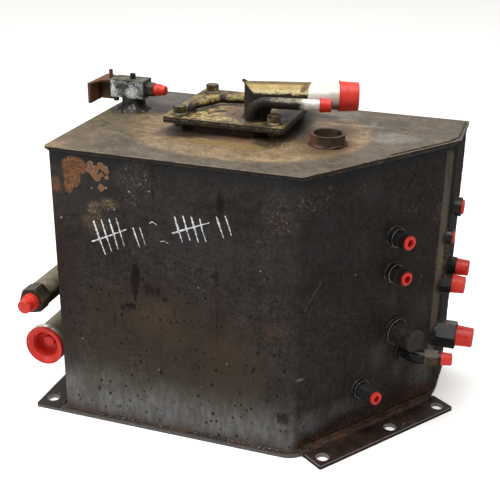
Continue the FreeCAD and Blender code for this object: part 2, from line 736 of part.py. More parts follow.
def port_adapter(name):
    """Short round adapter with a turned groove, screwed into its boss."""
    start = PANEL_PORTS[name]["deep"]
    profile = [(7.5, 0), (12.2, 0), (12.2, 9.5), (11.2, 10.3), (11.2, 12.3), (12.2, 13.1)]
    profile += [(12.2, 20), (7.5, 20)]
    return turned(profile, panel_point(name, start), OUTWARD)


def blanking_cap():
    """Plain turned cap over the blanked port."""
    start = PANEL_PORTS["blanked"]["deep"]
    profile = [(0, 0), (17.2, 0), (17.2, 36.2), (16.0, 37.5), (0, 37.5)]
    return turned(profile, panel_point("blanked", start), OUTWARD)


def elbow_end():
    return panel_point("elbow", ELBOW_KNEE), azimuth(ELBOW_TURN)


def elbow_body():
    """Forged 45 degree elbow with a nose for its cap."""
    knee, arm = elbow_end()
    start = panel_point("elbow", PANEL_PORTS["elbow"]["deep"])
    forging = bent_pipe([start, knee, knee + arm * 30.0], 14.0, ELBOW_R, 6.0)
    nose = tube(8.0, 6.0, knee + arm * 30.0, arm, ELBOW_NOSE - 30.0)
    ring = tube(10.4, 6.0, knee + arm * ELBOW_RING[0], arm, ELBOW_RING[1] - ELBOW_RING[0])
    return forging.fuse([nose, ring])


def elbow_nut():
    """Hex swivel nut on the elbow's arm."""
    knee, arm = elbow_end()
    start, end = ELBOW_NUT
    head = hexagon(23.0, knee + arm * start, arm, end - start, spin=10)
    wide = rod(ELBOW_R, knee + arm * start, arm, 30.0 - start)
    narrow = rod(8.0, knee + arm * start, arm, end - start)
    return head.cut([wide, narrow])


def side_adapter(name, across, length, nose, reach, bore, spin):
    """Hex adapter on a right-wall boss, clear of the wall's bend, with a nose inside its cap."""
    start = side_point(name, SIDE_PORTS[name]["deep"])
    head = hexagon(across, start, V(1, 0, 0), length, spin=spin)
    tip = rod(nose, start, V(1, 0, 0), length + reach)
    whole = head.fuse(tip).cut(rod(bore, start, V(1, 0, 0), length + reach))
    return whole.cut(tank_solid())


save("weld_bosses", *weld_bosses())
save("port_adapters", port_adapter("upper"), port_adapter("middle"))
save("blanking_cap", blanking_cap())
save("drain_nipple", grooved(11.0, panel_point("drain", 6.0), OUTWARD, 27.0, 2.25, 1.1, 7.0))
save("elbow_body", elbow_body())
save("elbow_nut", elbow_nut())
save("side_adapters", side_adapter("rear_mid", SIDE_HEX, 12.0, 10.3, 15.0, 6.5, 0),
     side_adapter("front_mid", SIDE_HEX - 2, 15.5, 11.2, 15.0, 7.0, 30))
save("side_adapter_large", side_adapter("front_low", BIG_HEX, 29.0, 13.2, 20.0, 11.0, 20))

# ---------------------------------------------------------------- red plastic caps and plugs
SUCTION_MOUTH = V(SIDE_TUBE_X, SUCTION_END_Y, SUCTION["z"])
SUPPLY_MOUTH = V(SIDE_TUBE_X, SUPPLY_END_Y - SUPPLY_HEX_LENGTH, SUPPLY["z"])
KNEE, ARM = elbow_end()


def supply_cap():
    """Stepped cap: a wide flange and a smaller closed barrel over the adapter's nose."""
    profile = [(9.0 + GAP, 0), (12.6, 0), (12.6, 8.0), (12.0, 9.0), (10.6, 9.0), (10.3, 21.0), (9.3, 22.0)]
    profile += [(0, 22.0), (0, 19.8), (9.0 + GAP, 19.8)]
    return turned(profile, SUPPLY_MOUTH + V(0, -GAP, 0), V(0, -1, 0))


def suction_plug():
    """Wide dished plug with a rolled rim over the large tube's end."""
    shank = SUCTION["bore"] - GAP
    profile = [(0, -16), (shank, -16), (shank, 0), (30.2, 0), (30.6, 4.0), (29.4, 6.0), (26.6, 6.0)]
    profile += [(20.8, 2.0), (20.2, -13.5), (9.0, -13.5), (8.0, -9.0), (0, -9.0)]
    return turned(profile, SUCTION_MOUTH + V(0, -GAP, 0), V(0, -1, 0))


def tube_cap(pipe, grip, outer, length):
    """Cap pushed a grip length over a cover tube's open end."""
    along = azimuth(pipe["turn"])
    start = V(pipe["x"], pipe["y"], COVER_TOP + pipe["rise"]) + along * (pipe["length"] - grip)
    return cap(start, along, outer, pipe["r"] + GAP, length, taper=0.9)


def panel_plug(name, off, flange, rim):
    bore = PANEL_PORTS[name]["bore"]
    return plug(panel_point(name, off + GAP), OUTWARD, flange, bore - GAP, 9.0, rim)


def side_plug(name, flange, rim):
    p = SIDE_PORTS[name]
    return plug(side_point(name, p["deep"] + GAP), V(1, 0, 0), flange, p["bore"] - GAP, 7.0, rim)


def side_cap(name, seat, outer, nose, length):
    return cap(side_point(name, seat + GAP), V(1, 0, 0), outer, nose + GAP, length, taper=0.9)


save("cap_return", tube_cap(RETURN, 23.0, 21.1, 28.0))
save("cap_bypass", tube_cap(BYPASS, 11.0, 9.7, 16.0))
save("cap_valve", cap(SIDE_PORT + V(VALVE_HEX + GAP, 0, 0), V(1, 0, 0), 9.0, 5.6 + GAP, 18.0, taper=1.9))
save("cap_supply", supply_cap())
save("plug_suction", suction_plug())
save("plug_upper_port", panel_plug("upper", 28.0, 10.0, 3.2))
save("plug_middle_port", panel_plug("middle", 28.0, 9.4, 3.4))
save("plug_drain", panel_plug("drain", 33.0, 9.4, 4.5))
save("cap_elbow", cap(KNEE + ARM * (ELBOW_RING[1] + GAP), ARM, 9.8, 8.0 + GAP, 16.5, taper=0.7))
save("plug_rear_top", side_plug("rear_top", 10.8, 3.0))
save("plug_front_top", side_plug("front_top", 8.2, 3.0))
save("cap_rear_mid", side_cap("rear_mid", 13.0, 12.8, 10.3, 19.0))
save("cap_front_mid", side_cap("front_mid", 12.0, 13.6, 11.2, 19.0))
save("cap_front_low", side_cap("front_low", 26.5, 15.8, 13.2, 25.0))
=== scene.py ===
import math
import random

import bpy
from mathutils import Matrix, Vector, noise


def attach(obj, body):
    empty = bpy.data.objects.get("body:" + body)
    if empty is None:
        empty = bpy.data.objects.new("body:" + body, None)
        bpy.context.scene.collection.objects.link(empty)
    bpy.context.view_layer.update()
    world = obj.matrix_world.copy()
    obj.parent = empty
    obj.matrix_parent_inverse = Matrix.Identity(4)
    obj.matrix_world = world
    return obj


# A used hydraulic tank on a pale floor. Metres, +Z up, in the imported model's frame.

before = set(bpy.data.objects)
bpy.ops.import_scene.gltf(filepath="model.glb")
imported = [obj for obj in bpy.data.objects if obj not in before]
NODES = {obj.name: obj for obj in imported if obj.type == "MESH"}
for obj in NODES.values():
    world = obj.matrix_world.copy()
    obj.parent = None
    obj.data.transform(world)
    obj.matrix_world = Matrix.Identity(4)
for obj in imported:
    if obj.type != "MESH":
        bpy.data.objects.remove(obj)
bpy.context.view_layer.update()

# ---------------------------------------------------------------- tank measures
X0, Y0 = -0.263, -0.163
WALL_TOP = 0.42
LID_TOP = 0.424
BASE_TOP = 0.005
COVER_TOP = 0.4445
A = Vector((X0, Y0, 0))
B = Vector((0.098, Y0, 0))
C = Vector((-X0, 0.0675, 0))
D = Vector((-X0, -Y0, 0))
F = Vector((X0, -Y0, 0))
ALONG = (C - B).normalized()
OUTWARD = Vector((ALONG.y, -ALONG.x, 0))
UP = Vector((0, 0, 1))
BEND = {"A": 0.005, "B": 0.025, "C": 0.045}
FRONT_START = 260.75
# places on the lid and cover, and along the slanted panel with their heights, in millimetres
FILLER = (94.4, -20.2)
VALVE = (-232.7, 52)
RETURN = (-17.5, 8)
BYPASS = (-17.8, -20)
CROSS_ENDS = ((-115, -4.5), (-32, 62))
PORTS = {"upper": (172, 301), "middle": (172, 246.2), "blank": (188.5, 146.5), "elbow": (208, 107),
    "drain": (123.5, 70.5)}
RETURN_TURN, BYPASS_TURN, ELBOW_TURN = 16.3, 10.6, 9.8
KNEE = Vector((RETURN[0], RETURN[1], 476.3)) / 1000
RETURN_RADIUS = 0.01905
HOLE_RADIUS = 0.00875
FOOT_HOLES = (29, 160, 259.6)


# ---------------------------------------------------------------- node graph helper
class Graph:
    """Adds nodes to one material and joins them."""

    def __init__(self, name):
        self.mat = bpy.data.materials.new(name)
        self.mat.use_nodes = True
        self.tree = self.mat.node_tree
        self.tree.nodes.clear()
        out = self.tree.nodes.new("ShaderNodeOutputMaterial")
        self.bsdf = self.tree.nodes.new("ShaderNodeBsdfPrincipled")
        self.tree.links.new(self.bsdf.outputs[0], out.inputs[0])
        self.co = self.tree.nodes.new("ShaderNodeTexCoord").outputs["Object"]
        self.axes = self.add("ShaderNodeSeparateXYZ", [self.co]).outputs

    def add(self, kind, inputs=(), **settings):
        node = self.tree.nodes.new(kind)
        for key, value in settings.items():
            setattr(node, key, value)
        pairs = inputs.items() if isinstance(inputs, dict) else enumerate(inputs)
        for key, value in pairs:
            if value is None:
                continue
            if isinstance(value, bpy.types.NodeSocket):
                self.tree.links.new(value, node.inputs[key])
            else:
                node.inputs[key].default_value = value
        return node

    def math(self, op, a, b=None, clamp=False):
        return self.add("ShaderNodeMath", [a, b], operation=op, use_clamp=clamp).outputs[0]

    def times(self, *values):
        out = values[0]
        for v in values[1:]:
            out = self.math("MULTIPLY", out, v)
        return out

    def most(self, *values):
        out = values[0]
        for v in values[1:]:
            out = self.math("MAXIMUM", out, v)
        return out

    def inverse(self, value):
        return self.math("SUBTRACT", 1, value, clamp=True)

    def step(self, value, low, high, start=0.0, end=1.0):
        """Smooth change from start to end as value goes from low to high."""
        node = self.add("ShaderNodeMapRange", [value, low, high, start, end],
            interpolation_type="SMOOTHSTEP")
        return node.outputs[0]

    def moved(self, stretch=(1, 1, 1), offset=(0, 0, 0)):
        node = self.add("ShaderNodeMapping", {"Vector": self.co, "Location": offset, "Scale": stretch})
        return node.outputs[0]

    def noise(self, scale, detail=4.0, rough=0.55, stretch=(1, 1, 1), offset=(0, 0, 0), distortion=0.0):
        node = self.add("ShaderNodeTexNoise",
            {"Vector": self.moved(stretch, offset), "Scale": scale, "Detail": detail, "Roughness": rough,
            "Distortion": distortion})
        return node.outputs["Fac"]

    def cells(self, scale, feature="F1", offset=(0, 0, 0), stretch=(1, 1, 1)):
        node = self.add("ShaderNodeTexVoronoi", {"Vector": self.moved(stretch, offset), "Scale": scale},
            feature=feature)
        return node.outputs["Distance"]

    def mix(self, fac, a, b, blend="MIX"):
        node = self.tree.nodes.new("ShaderNodeMix")
        node.data_type = "RGBA"
        node.blend_type = blend
        for socket, value in ((node.inputs[0], fac), (node.inputs[6], a), (node.inputs[7], b)):
            if isinstance(value, bpy.types.NodeSocket):
                self.tree.links.new(value, socket)
            elif isinstance(value, (float, int)):
                socket.default_value = value
            else:
                socket.default_value = (*value, 1)
        return node.outputs[2]

    def blob(self, centre, size, soft=0.35, wobble=0.35, scale=60.0, offset=(0, 0, 0), strength=1.0):
        """Ragged patch: strength inside an ellipsoid, 0 outside, with a noisy edge. Half sizes in mm."""
        reach = self.distance(centre, [half / 1000 for half in size])
        if wobble:
            reach = self.shifted(reach, wobble * 4, self.noise(scale, 5, 0.65, offset=offset))
        return self.step(reach, 1 - soft, 1 + soft, strength, 0)

    def blobs(self, place, rows):
        """Strongest of several ragged patches, each given as place, then what blob takes."""
        return self.most(*[self.blob(place(*at), *rest) for at, *rest in rows])

    def distance(self, centre, size):
        """Distance from a point, scaled by an ellipsoid's half sizes."""
        away = self.add("ShaderNodeVectorMath", [self.co, tuple(centre)], operation="SUBTRACT").outputs[0]
        scaled = self.add("ShaderNodeVectorMath", [away, tuple(size)], operation="DIVIDE").outputs[0]
        return self.add("ShaderNodeVectorMath", [scaled], operation="LENGTH").outputs["Value"]

    def along(self, origin, direction):
        """Distance along a direction from a point."""
        away = self.add("ShaderNodeVectorMath", [self.co, tuple(origin)], operation="SUBTRACT").outputs[0]
        return self.add("ShaderNodeVectorMath", [away, tuple(direction)],
            operation="DOT_PRODUCT").outputs["Value"]

    def shifted(self, value, amount, texture):
        """Value pushed up and down by a texture."""
        return self.math("ADD", value, self.times(self.math("SUBTRACT", texture, 0.5), amount))

    def coat(self, where, tone, share=1.0):
        """Lays a tone over the colour so far."""
        self.colour = self.mix(where if share == 1 else self.times(where, share), self.colour, tone)

    def grained(self, colour, texture, dark, light):
        """Colour made darker and lighter by a texture."""
        grey = self.add("ShaderNodeCombineXYZ", [self.step(texture, 0.2, 0.8, dark, light)] * 3)
        return self.mix(1, colour, grey.outputs[0], "MULTIPLY")

    def bump(self, height, strength, distance, below=None):
        node = self.add("ShaderNodeBump",
            {"Strength": strength, "Distance": distance, "Height": height, "Normal": below})
        return node.outputs[0]

    def surface(self, colour=None, roughness=None, metallic=None, normal=None, **plain):
        pairs = {"Base Color": colour, "Roughness": roughness, "Metallic": metallic, "Normal": normal}
        for key, value in pairs.items():
            if value is None:
                continue
            if isinstance(value, bpy.types.NodeSocket):
                self.tree.links.new(value, self.bsdf.inputs[key])
            elif isinstance(value, (float, int)):
                self.bsdf.inputs[key].default_value = value
            else:
                self.bsdf.inputs[key].default_value = (*value, 1)
        for key, value in plain.items():
            self.bsdf.inputs[key.replace("_", " ")].default_value = value
        return self.mat


def front(u, z):
    """Point on the front wall, u mm from near its left edge and z mm up."""
    return ((u - FRONT_START) / 1000, Y0, z / 1000)


def lid(x, y):
    """Point on the lid from millimetres."""
    return (x / 1000, y / 1000, LID_TOP)


def slant(s, z):
    """Point on the slanted panel, s mm along it and z mm up."""
    p = B + ALONG * (s / 1000)
    return (p.x, p.y, z / 1000)


# ---------------------------------------------------------------- materials
RUST = (0.2, 0.075, 0.028)
RUST_DARK = (0.055, 0.022, 0.012)


def tank_paint():
    """Near-black worn paint: oily, pale and dusty low down, with rust scabs, drips and pits."""
    g = Graph("tank_paint")
    x, y, z = g.axes
    s = g.along(B, ALONG)
    cloud = g.noise(7, 5, 0.6)
    mottle = g.noise(34, 6, 0.7, offset=(2, 6, 4))
    fine = g.noise(160, 3, 0.6)
    grain = g.noise(900, 2, 0.5)
    runs = g.noise(60, 4, 0.6, stretch=(1, 1, 0.06))
    on_slant = g.times(g.step(x, 0.094, 0.106), g.step(y, 0.162, 0.158))
    g.colour = g.mix(g.step(cloud, 0.3, 0.7), (0.0165, 0.012, 0.0095), (0.0265, 0.0205, 0.017))
    g.coat(g.step(mottle, 0.5, 0.74), (0.034, 0.029, 0.0255), 0.45)
    g.coat(g.step(mottle, 0.46, 0.24), (0.0105, 0.007, 0.0055), 0.5)
    g.coat(g.step(runs, 0.54, 0.74), (0.036, 0.03, 0.026), 0.25)
    g.coat(g.step(runs, 0.44, 0.28), (0.0085, 0.006, 0.0048), 0.35)
    g.coat(g.times(on_slant, g.step(z, 0.1, 0.3, 0.25, 0.52)), (0.0082, 0.0054, 0.004))
    # grain and mottling, stronger on the slanted panel
    g.colour = g.grained(g.colour, g.noise(280, 3, 0.75, offset=(5, 5, 1)), 0.5, 1.6)
    g.colour = g.grained(g.colour, g.noise(95, 4, 0.7, offset=(5, 1, 1)), 0.55, 1.5)
    coarser = g.grained(g.colour, g.noise(200, 4, 0.75, offset=(1, 5, 1)), 0.15, 2.1)
    g.coat(on_slant, coarser, 0.4)
    pepper = g.step(g.noise(430, 3, 0.8, offset=(7, 6, 1)), 0.6, 0.68)
    g.coat(g.times(pepper, g.step(on_slant, 0, 1, 0.1, 0.32)), (0.11, 0.098, 0.085))
    blue = g.step(g.noise(12, 4, 0.6, offset=(9, 3, 2)), 0.46, 0.62)
    g.coat(g.times(blue, g.step(z, 0.2, 0.32)), (0.0215, 0.0225, 0.025), 0.45)
    # painted shade: a cooler, darker band under the lid's overhang
    under = g.step(g.shifted(z, 0.03, cloud), 0.394, 0.412)
    g.coat(under, (0.0105, 0.012, 0.0145), 0.65)
    # brown and yellow oily clouds over the middle of the front
    brown = g.blobs(front, [
        ((150, 172), (95, 20, 50), 0.8, 0.3, 25), ((160, 125), (150, 20, 40), 0.8, 0.3, 25, (2, 5, 2), 0.6),
        ((255, 135), (55, 20, 58), 0.8, 0.3, 25, (3, 1, 2))])
    g.coat(g.times(brown, g.step(mottle, 0.25, 0.6, 0.3, 0.9)), (0.042, 0.0262, 0.0132))
    orange = g.blobs(front, [
        ((247, 158), (14, 20, 16), 0.8, 0.4, 60), ((327, 196), (16, 20, 14), 0.8, 0.4, 60, (3, 1, 2)),
        ((158, 193), (30, 20, 18), 0.8, 0.5, 60, (3, 4, 2))])
    g.coat(g.times(orange, g.step(g.noise(120, 5, 0.75, offset=(4, 8, 1)), 0.4, 0.62, 0, 0.55)),
        (0.07, 0.036, 0.0165))
    maroon = g.blobs(front, [
        ((246, 205), (12, 20, 40), 0.8, 0.4, 60, (1, 1, 2)),
        ((150, 232), (24, 20, 14), 0.8, 0.5, 60, (1, 7, 2)),
        ((12, 215), (20, 20, 80), 0.9, 0.3, 40, (5, 7, 2))])
    g.coat(maroon, (0.026, 0.0105, 0.009), 0.6)
    # pale dust low down, in a hard-edged band on the front and patches on the slanted panel
    edge = g.math("ADD", g.shifted(g.shifted(z, 0.034, mottle), 0.03, runs), g.times(x, 0.05))
    haze = g.most(g.blobs(slant, [
        ((22, 44), (36, 45, 18), 0.7, 0.2, 60, (0, 0, 0), 0.5),
        ((80, 48), (50, 50, 13), 0.8, 0.3, 60, (0, 0, 0), 0.28),
        ((252, 52), (18, 20, 22), 0.7, 0.3, 60, (0, 0, 0), 0.42)]),
        g.times(g.step(edge, 0.09, 0.034), g.inverse(on_slant)))
    haze = g.times(haze, g.step(g.noise(130, 5, 0.7, stretch=(1, 1, 0.22)), 0.3, 0.7, 0.42, 1),
        g.step(g.noise(26, 5, 0.7, offset=(1, 9, 4)), 0.3, 0.62, 0.5, 1))
    g.coat(haze, g.mix(g.step(z, 0.03, 0.075), (0.158, 0.162, 0.164), (0.15, 0.142, 0.124)), 0.98)
    thin = g.times(g.step(edge, 0.125, 0.07), g.inverse(on_slant), g.step(runs, 0.3, 0.7, 0.05, 0.3))
    g.coat(thin, (0.105, 0.09, 0.07))
    # dark drips and runs: u, z, half width, half height, strength
    torn = g.math("ADD", g.times(g.step(g.noise(230, 6, 0.8, stretch=(1, 1, 0.22), offset=(3, 7, 5)), 0.25,
        0.75), 1.1), g.times(g.step(g.noise(75, 5, 0.7, offset=(6, 7, 5)), 0.25, 0.75), 0.9))
    drips = None
    for u, h, wide, tall, strength in [
            (123, 249, 8, 20, 1), (121, 228, 4.6, 19, 1), (249, 372, 5.5, 22, 0.85), (154, 397, 3, 30, 0.6),
            (112, 198, 12, 6.5, 1), (101, 192, 6, 4, 0.9), (88, 176, 1.6, 16, 0.7), (143, 231, 8, 10, 0.75),
            (156, 227, 3.5, 10, 0.7), (166, 217, 4.5, 5, 0.8), (181, 202, 2, 12, 0.6),
            (188, 236, 2.5, 7, 0.6), (245, 190, 1.4, 36, 0.6), (243, 268, 3, 20, 0.6),
            (343, 62, 12, 11, 0.8), (222, 272, 8, 3, 0.45), (290, 300, 2.5, 4, 0.5), (330, 186, 5, 3, 0.6),
            (300, 132, 4, 3, 0.6), (262, 240, 1.5, 26, 0.35)]:
        near = g.math("ADD", g.distance(front(u, h), (wide / 1000, 0.02, tall / 1000)), torn)
        here = g.step(near, 2.22, 1.5, 0, strength)
        drips = here if drips is None else g.math("MAXIMUM", drips, here)
    g.coat(drips, (0.0064, 0.0023, 0.0017), 0.96)
    # small dark pits, denser low on the front
    where = g.step(z, 0.33, 0.24, 0.35, 1)
    pits = g.times(g.step(g.cells(150), 0.2, 0.1),
        g.step(g.noise(17, 3, 0.6, offset=(7, 2, 5)), 0.36, 0.46), where)
    dots = g.times(g.step(g.cells(64, offset=(3, 5, 5), stretch=(1, 1, 0.75)), 0.19, 0.1),
        g.step(g.noise(9, 3, 0.6, offset=(7, 8, 5)), 0.4, 0.48), where)
    more = g.times(g.step(g.cells(85, offset=(9, 5, 2), stretch=(1, 1, 0.8)), 0.2, 0.12),
        g.step(g.noise(26, 3, 0.6, offset=(2, 8, 5)), 0.44, 0.52), where)
    pits = g.most(pits, dots, more)
    g.coat(pits, (0.0065, 0.0036, 0.0028), 0.85)
    # pale and rusty speckle in drifts
    drift = g.most(g.blobs(front, [
        ((128, 392), (26, 20, 20), 0.5, 0.35), ((122, 368), (10, 20, 16), 0.5, 0.35, 60, (4, 4, 4)),
        ((332, 364), (24, 20, 26), 0.6, 0.3, 60, (2, 2, 0), 0.8),
        ((308, 312), (12, 20, 26), 0.6, 0.3, 60, (5, 2, 0), 0.55),
        ((322, 236), (18, 20, 16), 0.6, 0.3, 60, (5, 9, 0), 0.5)]),
        g.blobs(slant, [((18, 386), (20, 20, 20), 0.6, 0.3, 60, (9, 2, 0)),
        ((45, 392), (10, 10, 10), 0.6, 0.3, 60, (9, 1, 0), 0.8),
        ((108, 388), (10, 10, 10), 0.6, 0.3, 60, (9, 7, 0), 0.6),
        ((200, 336), (20, 20, 9), 0.6, 0.3, 60, (9, 5, 0), 0.7),
        ((256, 318), (9, 9, 13), 0.6, 0.3, 60, (9, 5, 1)),
        ((40, 205), (50, 50, 30), 0.9, 0.3, 60, (9, 5, 7), 0.35)]))
    coarse = g.noise(210, 5, 0.8, offset=(1, 1, 1))
    tiny = g.noise(560, 3, 0.8, offset=(1, 6, 1))
    clumps = g.times(g.step(coarse, 0.52, 0.62), drift)
    g.coat(clumps, (0.12, 0.072, 0.045), 0.5)
    specks = g.times(g.step(tiny, 0.58, 0.66), g.step(coarse, 0.44, 0.56), drift)
    g.coat(specks, (0.42, 0.35, 0.27), 0.62)
    lone = g.times(g.step(g.cells(46, offset=(4, 4, 4)), 0.06, 0.035),
        g.step(g.noise(20, 2, offset=(8, 8, 8)), 0.54, 0.6))
    white_bits = [(95, 343, 1.5), (90, 349, 1.2), (12, 320, 1.6), (62, 370, 1.2), (84, 373, 1.6),
        (86, 342, 1), (118, 372, 1.6), (136, 385, 1), (148, 376, 1.2)]
    bits = lone
    for u, h, r in white_bits:
        bits = g.most(bits, g.step(g.distance(front(u, h), (r / 1000, 0.02, r / 1000)), 1.1, 0.7))
    g.coat(bits, (0.4, 0.36, 0.31), 0.6)
    # rust scabs at the top left of the front
    plain = g.blobs(front, [
        ((37, 399), (19, 20, 13), 0.14, 0.14, 90), ((33, 384), (13, 20, 15), 0.16, 0.14, 90),
        ((27, 370), (7, 20, 11), 0.25, 0.14, 90), ((8, 368), (8, 20, 10), 0.5, 0.3, 90, (1, 6, 9), 0.75),
        ((50, 322), (8, 20, 10), 0.6, 0.5, 130, (4, 6, 3), 0.2)])
    olive = g.blobs(front, [
        ((86, 350), (12, 20, 8), 0.5, 0.5, 140, (1, 0, 3)),
        ((64, 338), (9, 20, 13), 0.6, 0.5, 140, (1, 6, 3)),
        ((66, 318), (16, 20, 12), 0.7, 0.5, 140, (4, 6, 8), 0.6)])
    g.coat(g.times(olive, g.step(coarse, 0.42, 0.56, 0.25, 0.95)),
        g.mix(g.step(tiny, 0.45, 0.58), (0.04, 0.026, 0.016), (0.215, 0.15, 0.082)))
    petals = [(62, 404, 4.6), (60, 396, 4.2), (69, 398, 5.2), (66, 390, 4.4), (72, 386, 4.4), (78, 391, 3),
        (77, 404, 4.2), (83, 400, 4.4), (86, 396, 3.4), (77, 372, 4.6), (86, 388, 2.8)]
    reach = None
    for u, h, r in petals:
        d = g.distance(front(u, h), (r / 1000, 0.02, r / 1000))
        reach = d if reach is None else g.math("MINIMUM", reach, d)
    reach = g.shifted(reach, 2.1, g.noise(210, 5, 0.8, offset=(8, 0, 8)))
    flower = g.step(reach, 1.12, 0.98)
    ring = g.times(flower, g.step(reach, 0.55, 0.92))
    rust = g.mix(g.step(g.noise(330, 5, 0.8), 0.38, 0.6), (0.06, 0.026, 0.015), (0.24, 0.098, 0.038))
    rust = g.mix(g.step(g.noise(60, 4, 0.7, offset=(2, 2, 9)), 0.45, 0.65, 0, 0.6), rust,
        (0.08, 0.038, 0.022))
    g.coat(g.times(plain, g.step(coarse, 0.3, 0.5, 0.5, 0.95)), rust)
    petal = g.mix(g.times(ring, 0.7), (0.18, 0.084, 0.042), (0.25, 0.155, 0.092))
    petal = g.mix(g.times(g.step(tiny, 0.52, 0.62), 0.6), petal, (0.085, 0.036, 0.02))
    g.coat(g.times(flower, g.step(coarse, 0.25, 0.45, 0.6, 0.95)), petal)
    # rust creeping up from the base, thickest on the slanted panel
    creep = g.math("SUBTRACT", g.shifted(z, 0.034, g.noise(60, 5, 0.75, offset=(3, 3, 3))),
        g.times(g.step(s, 0.155, 0.235), 0.014))
    foot = g.times(g.step(creep, 0.026, 0.012), g.step(on_slant, 0, 1, 0.25, 1))
    crust = g.mix(g.step(coarse, 0.42, 0.6), (0.017, 0.0085, 0.006), (0.105, 0.044, 0.022))
    g.coat(foot, crust, 0.9)
    patch = g.blob(slant(198, 30), (26, 26, 14), 0.3, 0.4, 70, (2, 7, 1))
    g.coat(patch, (0.022, 0.0115, 0.0085), 0.8)
    # scratch and rubbed marks on the slanted panel
    line = g.math("ABSOLUTE", g.math("SUBTRACT", g.math("ADD", g.times(s, 1.3), 0.214), z))
    scratch = g.times(g.step(line, 0.0014, 0.0004), g.step(s, 0.01, 0.014), g.step(s, 0.044, 0.038))
    marks = g.most(g.blobs(slant, [
        ((156, 116), (14, 14, 21), 0.8, 0.35, 60, (0, 0, 0), 0.3),
        ((178, 196), (8, 8, 22), 0.8, 0.35, 60, (0, 0, 0), 0.14),
        ((200, 84), (8, 8, 20), 0.8, 0.35, 60, (0, 0, 0), 0.24),
        ((124, 378), (14, 14, 10), 0.8, 0.35, 60, (0, 0, 0), 0.1),
        ((235, 165), (20, 20, 24), 0.9, 0.2, 60, (0, 0, 0), 0.18),
        ((8, 123), (7, 7, 2), 0.6, 0.4, 60, (0, 0, 0), 1.6)]), g.times(scratch, 1.2))
    marks = g.times(marks, g.step(g.noise(140, 4, 0.7, stretch=(1, 1, 0.3), offset=(8, 4, 1)), 0.3, 0.6,
        0.4, 1))
    g.coat(g.times(marks, on_slant), (0.24, 0.205, 0.175), 0.35)
    # the short right wall: darker with painted shade, with one pale stripe of painted reflection where the
    # bend starts
    wall = g.step(y, 0.058, 0.072)
    wall = g.times(wall, g.step(x, 0.235, 0.25))
    g.coat(wall, (0.006, 0.0042, 0.0034), 0.75)
    # painted reflection: a pale stripe down the start of the bend
    bend_reflection = g.times(g.step(y, 0.0495, 0.0525), g.step(y, 0.066, 0.061), g.step(x, 0.235, 0.245))
    bend_reflection = g.times(bend_reflection, g.step(z, 0.055, 0.085), g.step(g.shifted(z, 0.02, mottle), 0.412, 0.402))
    bend_reflection = g.times(bend_reflection, g.step(g.noise(30, 4, 0.6, stretch=(1, 1, 0.3), offset=(6, 6, 6)), 0.32, 0.5,
        0.35, 1))
    g.coat(bend_reflection, (0.118, 0.092, 0.068), 0.66)
    gold = g.times(g.step(coarse, 0.5, 0.58), g.blob((0.262, 0.072, 0.235), (20, 20, 30), 0.7, 0.4, 60))
    g.coat(gold, (0.3, 0.21, 0.075), 0.5)
    # roughness and relief
    rough = g.step(cloud, 0.3, 0.7, 0.52, 0.62)
    rough = g.math("ADD", rough, g.times(g.most(plain, flower, foot, haze, wall), 0.22))
    rough = g.math("SUBTRACT", rough, g.times(drips, 0.15))
    relief = g.math("ADD", g.times(fine, 0.35), g.times(grain, 0.12))
    relief = g.math("ADD", relief, g.times(g.most(plain, flower), g.step(coarse, 0.3, 0.6), 0.8))
    relief = g.math("ADD", relief, g.times(g.most(clumps, foot), 0.6))
    relief = g.math("SUBTRACT", relief, g.times(pits, 0.6))
    normal = g.bump(relief, 0.45, 0.0007)
    normal = g.bump(g.noise(5, 2, 0.5), 0.35, 0.01, normal)
    return g.surface(g.colour, rough, 0, normal, Specular_IOR_Level=0.24)


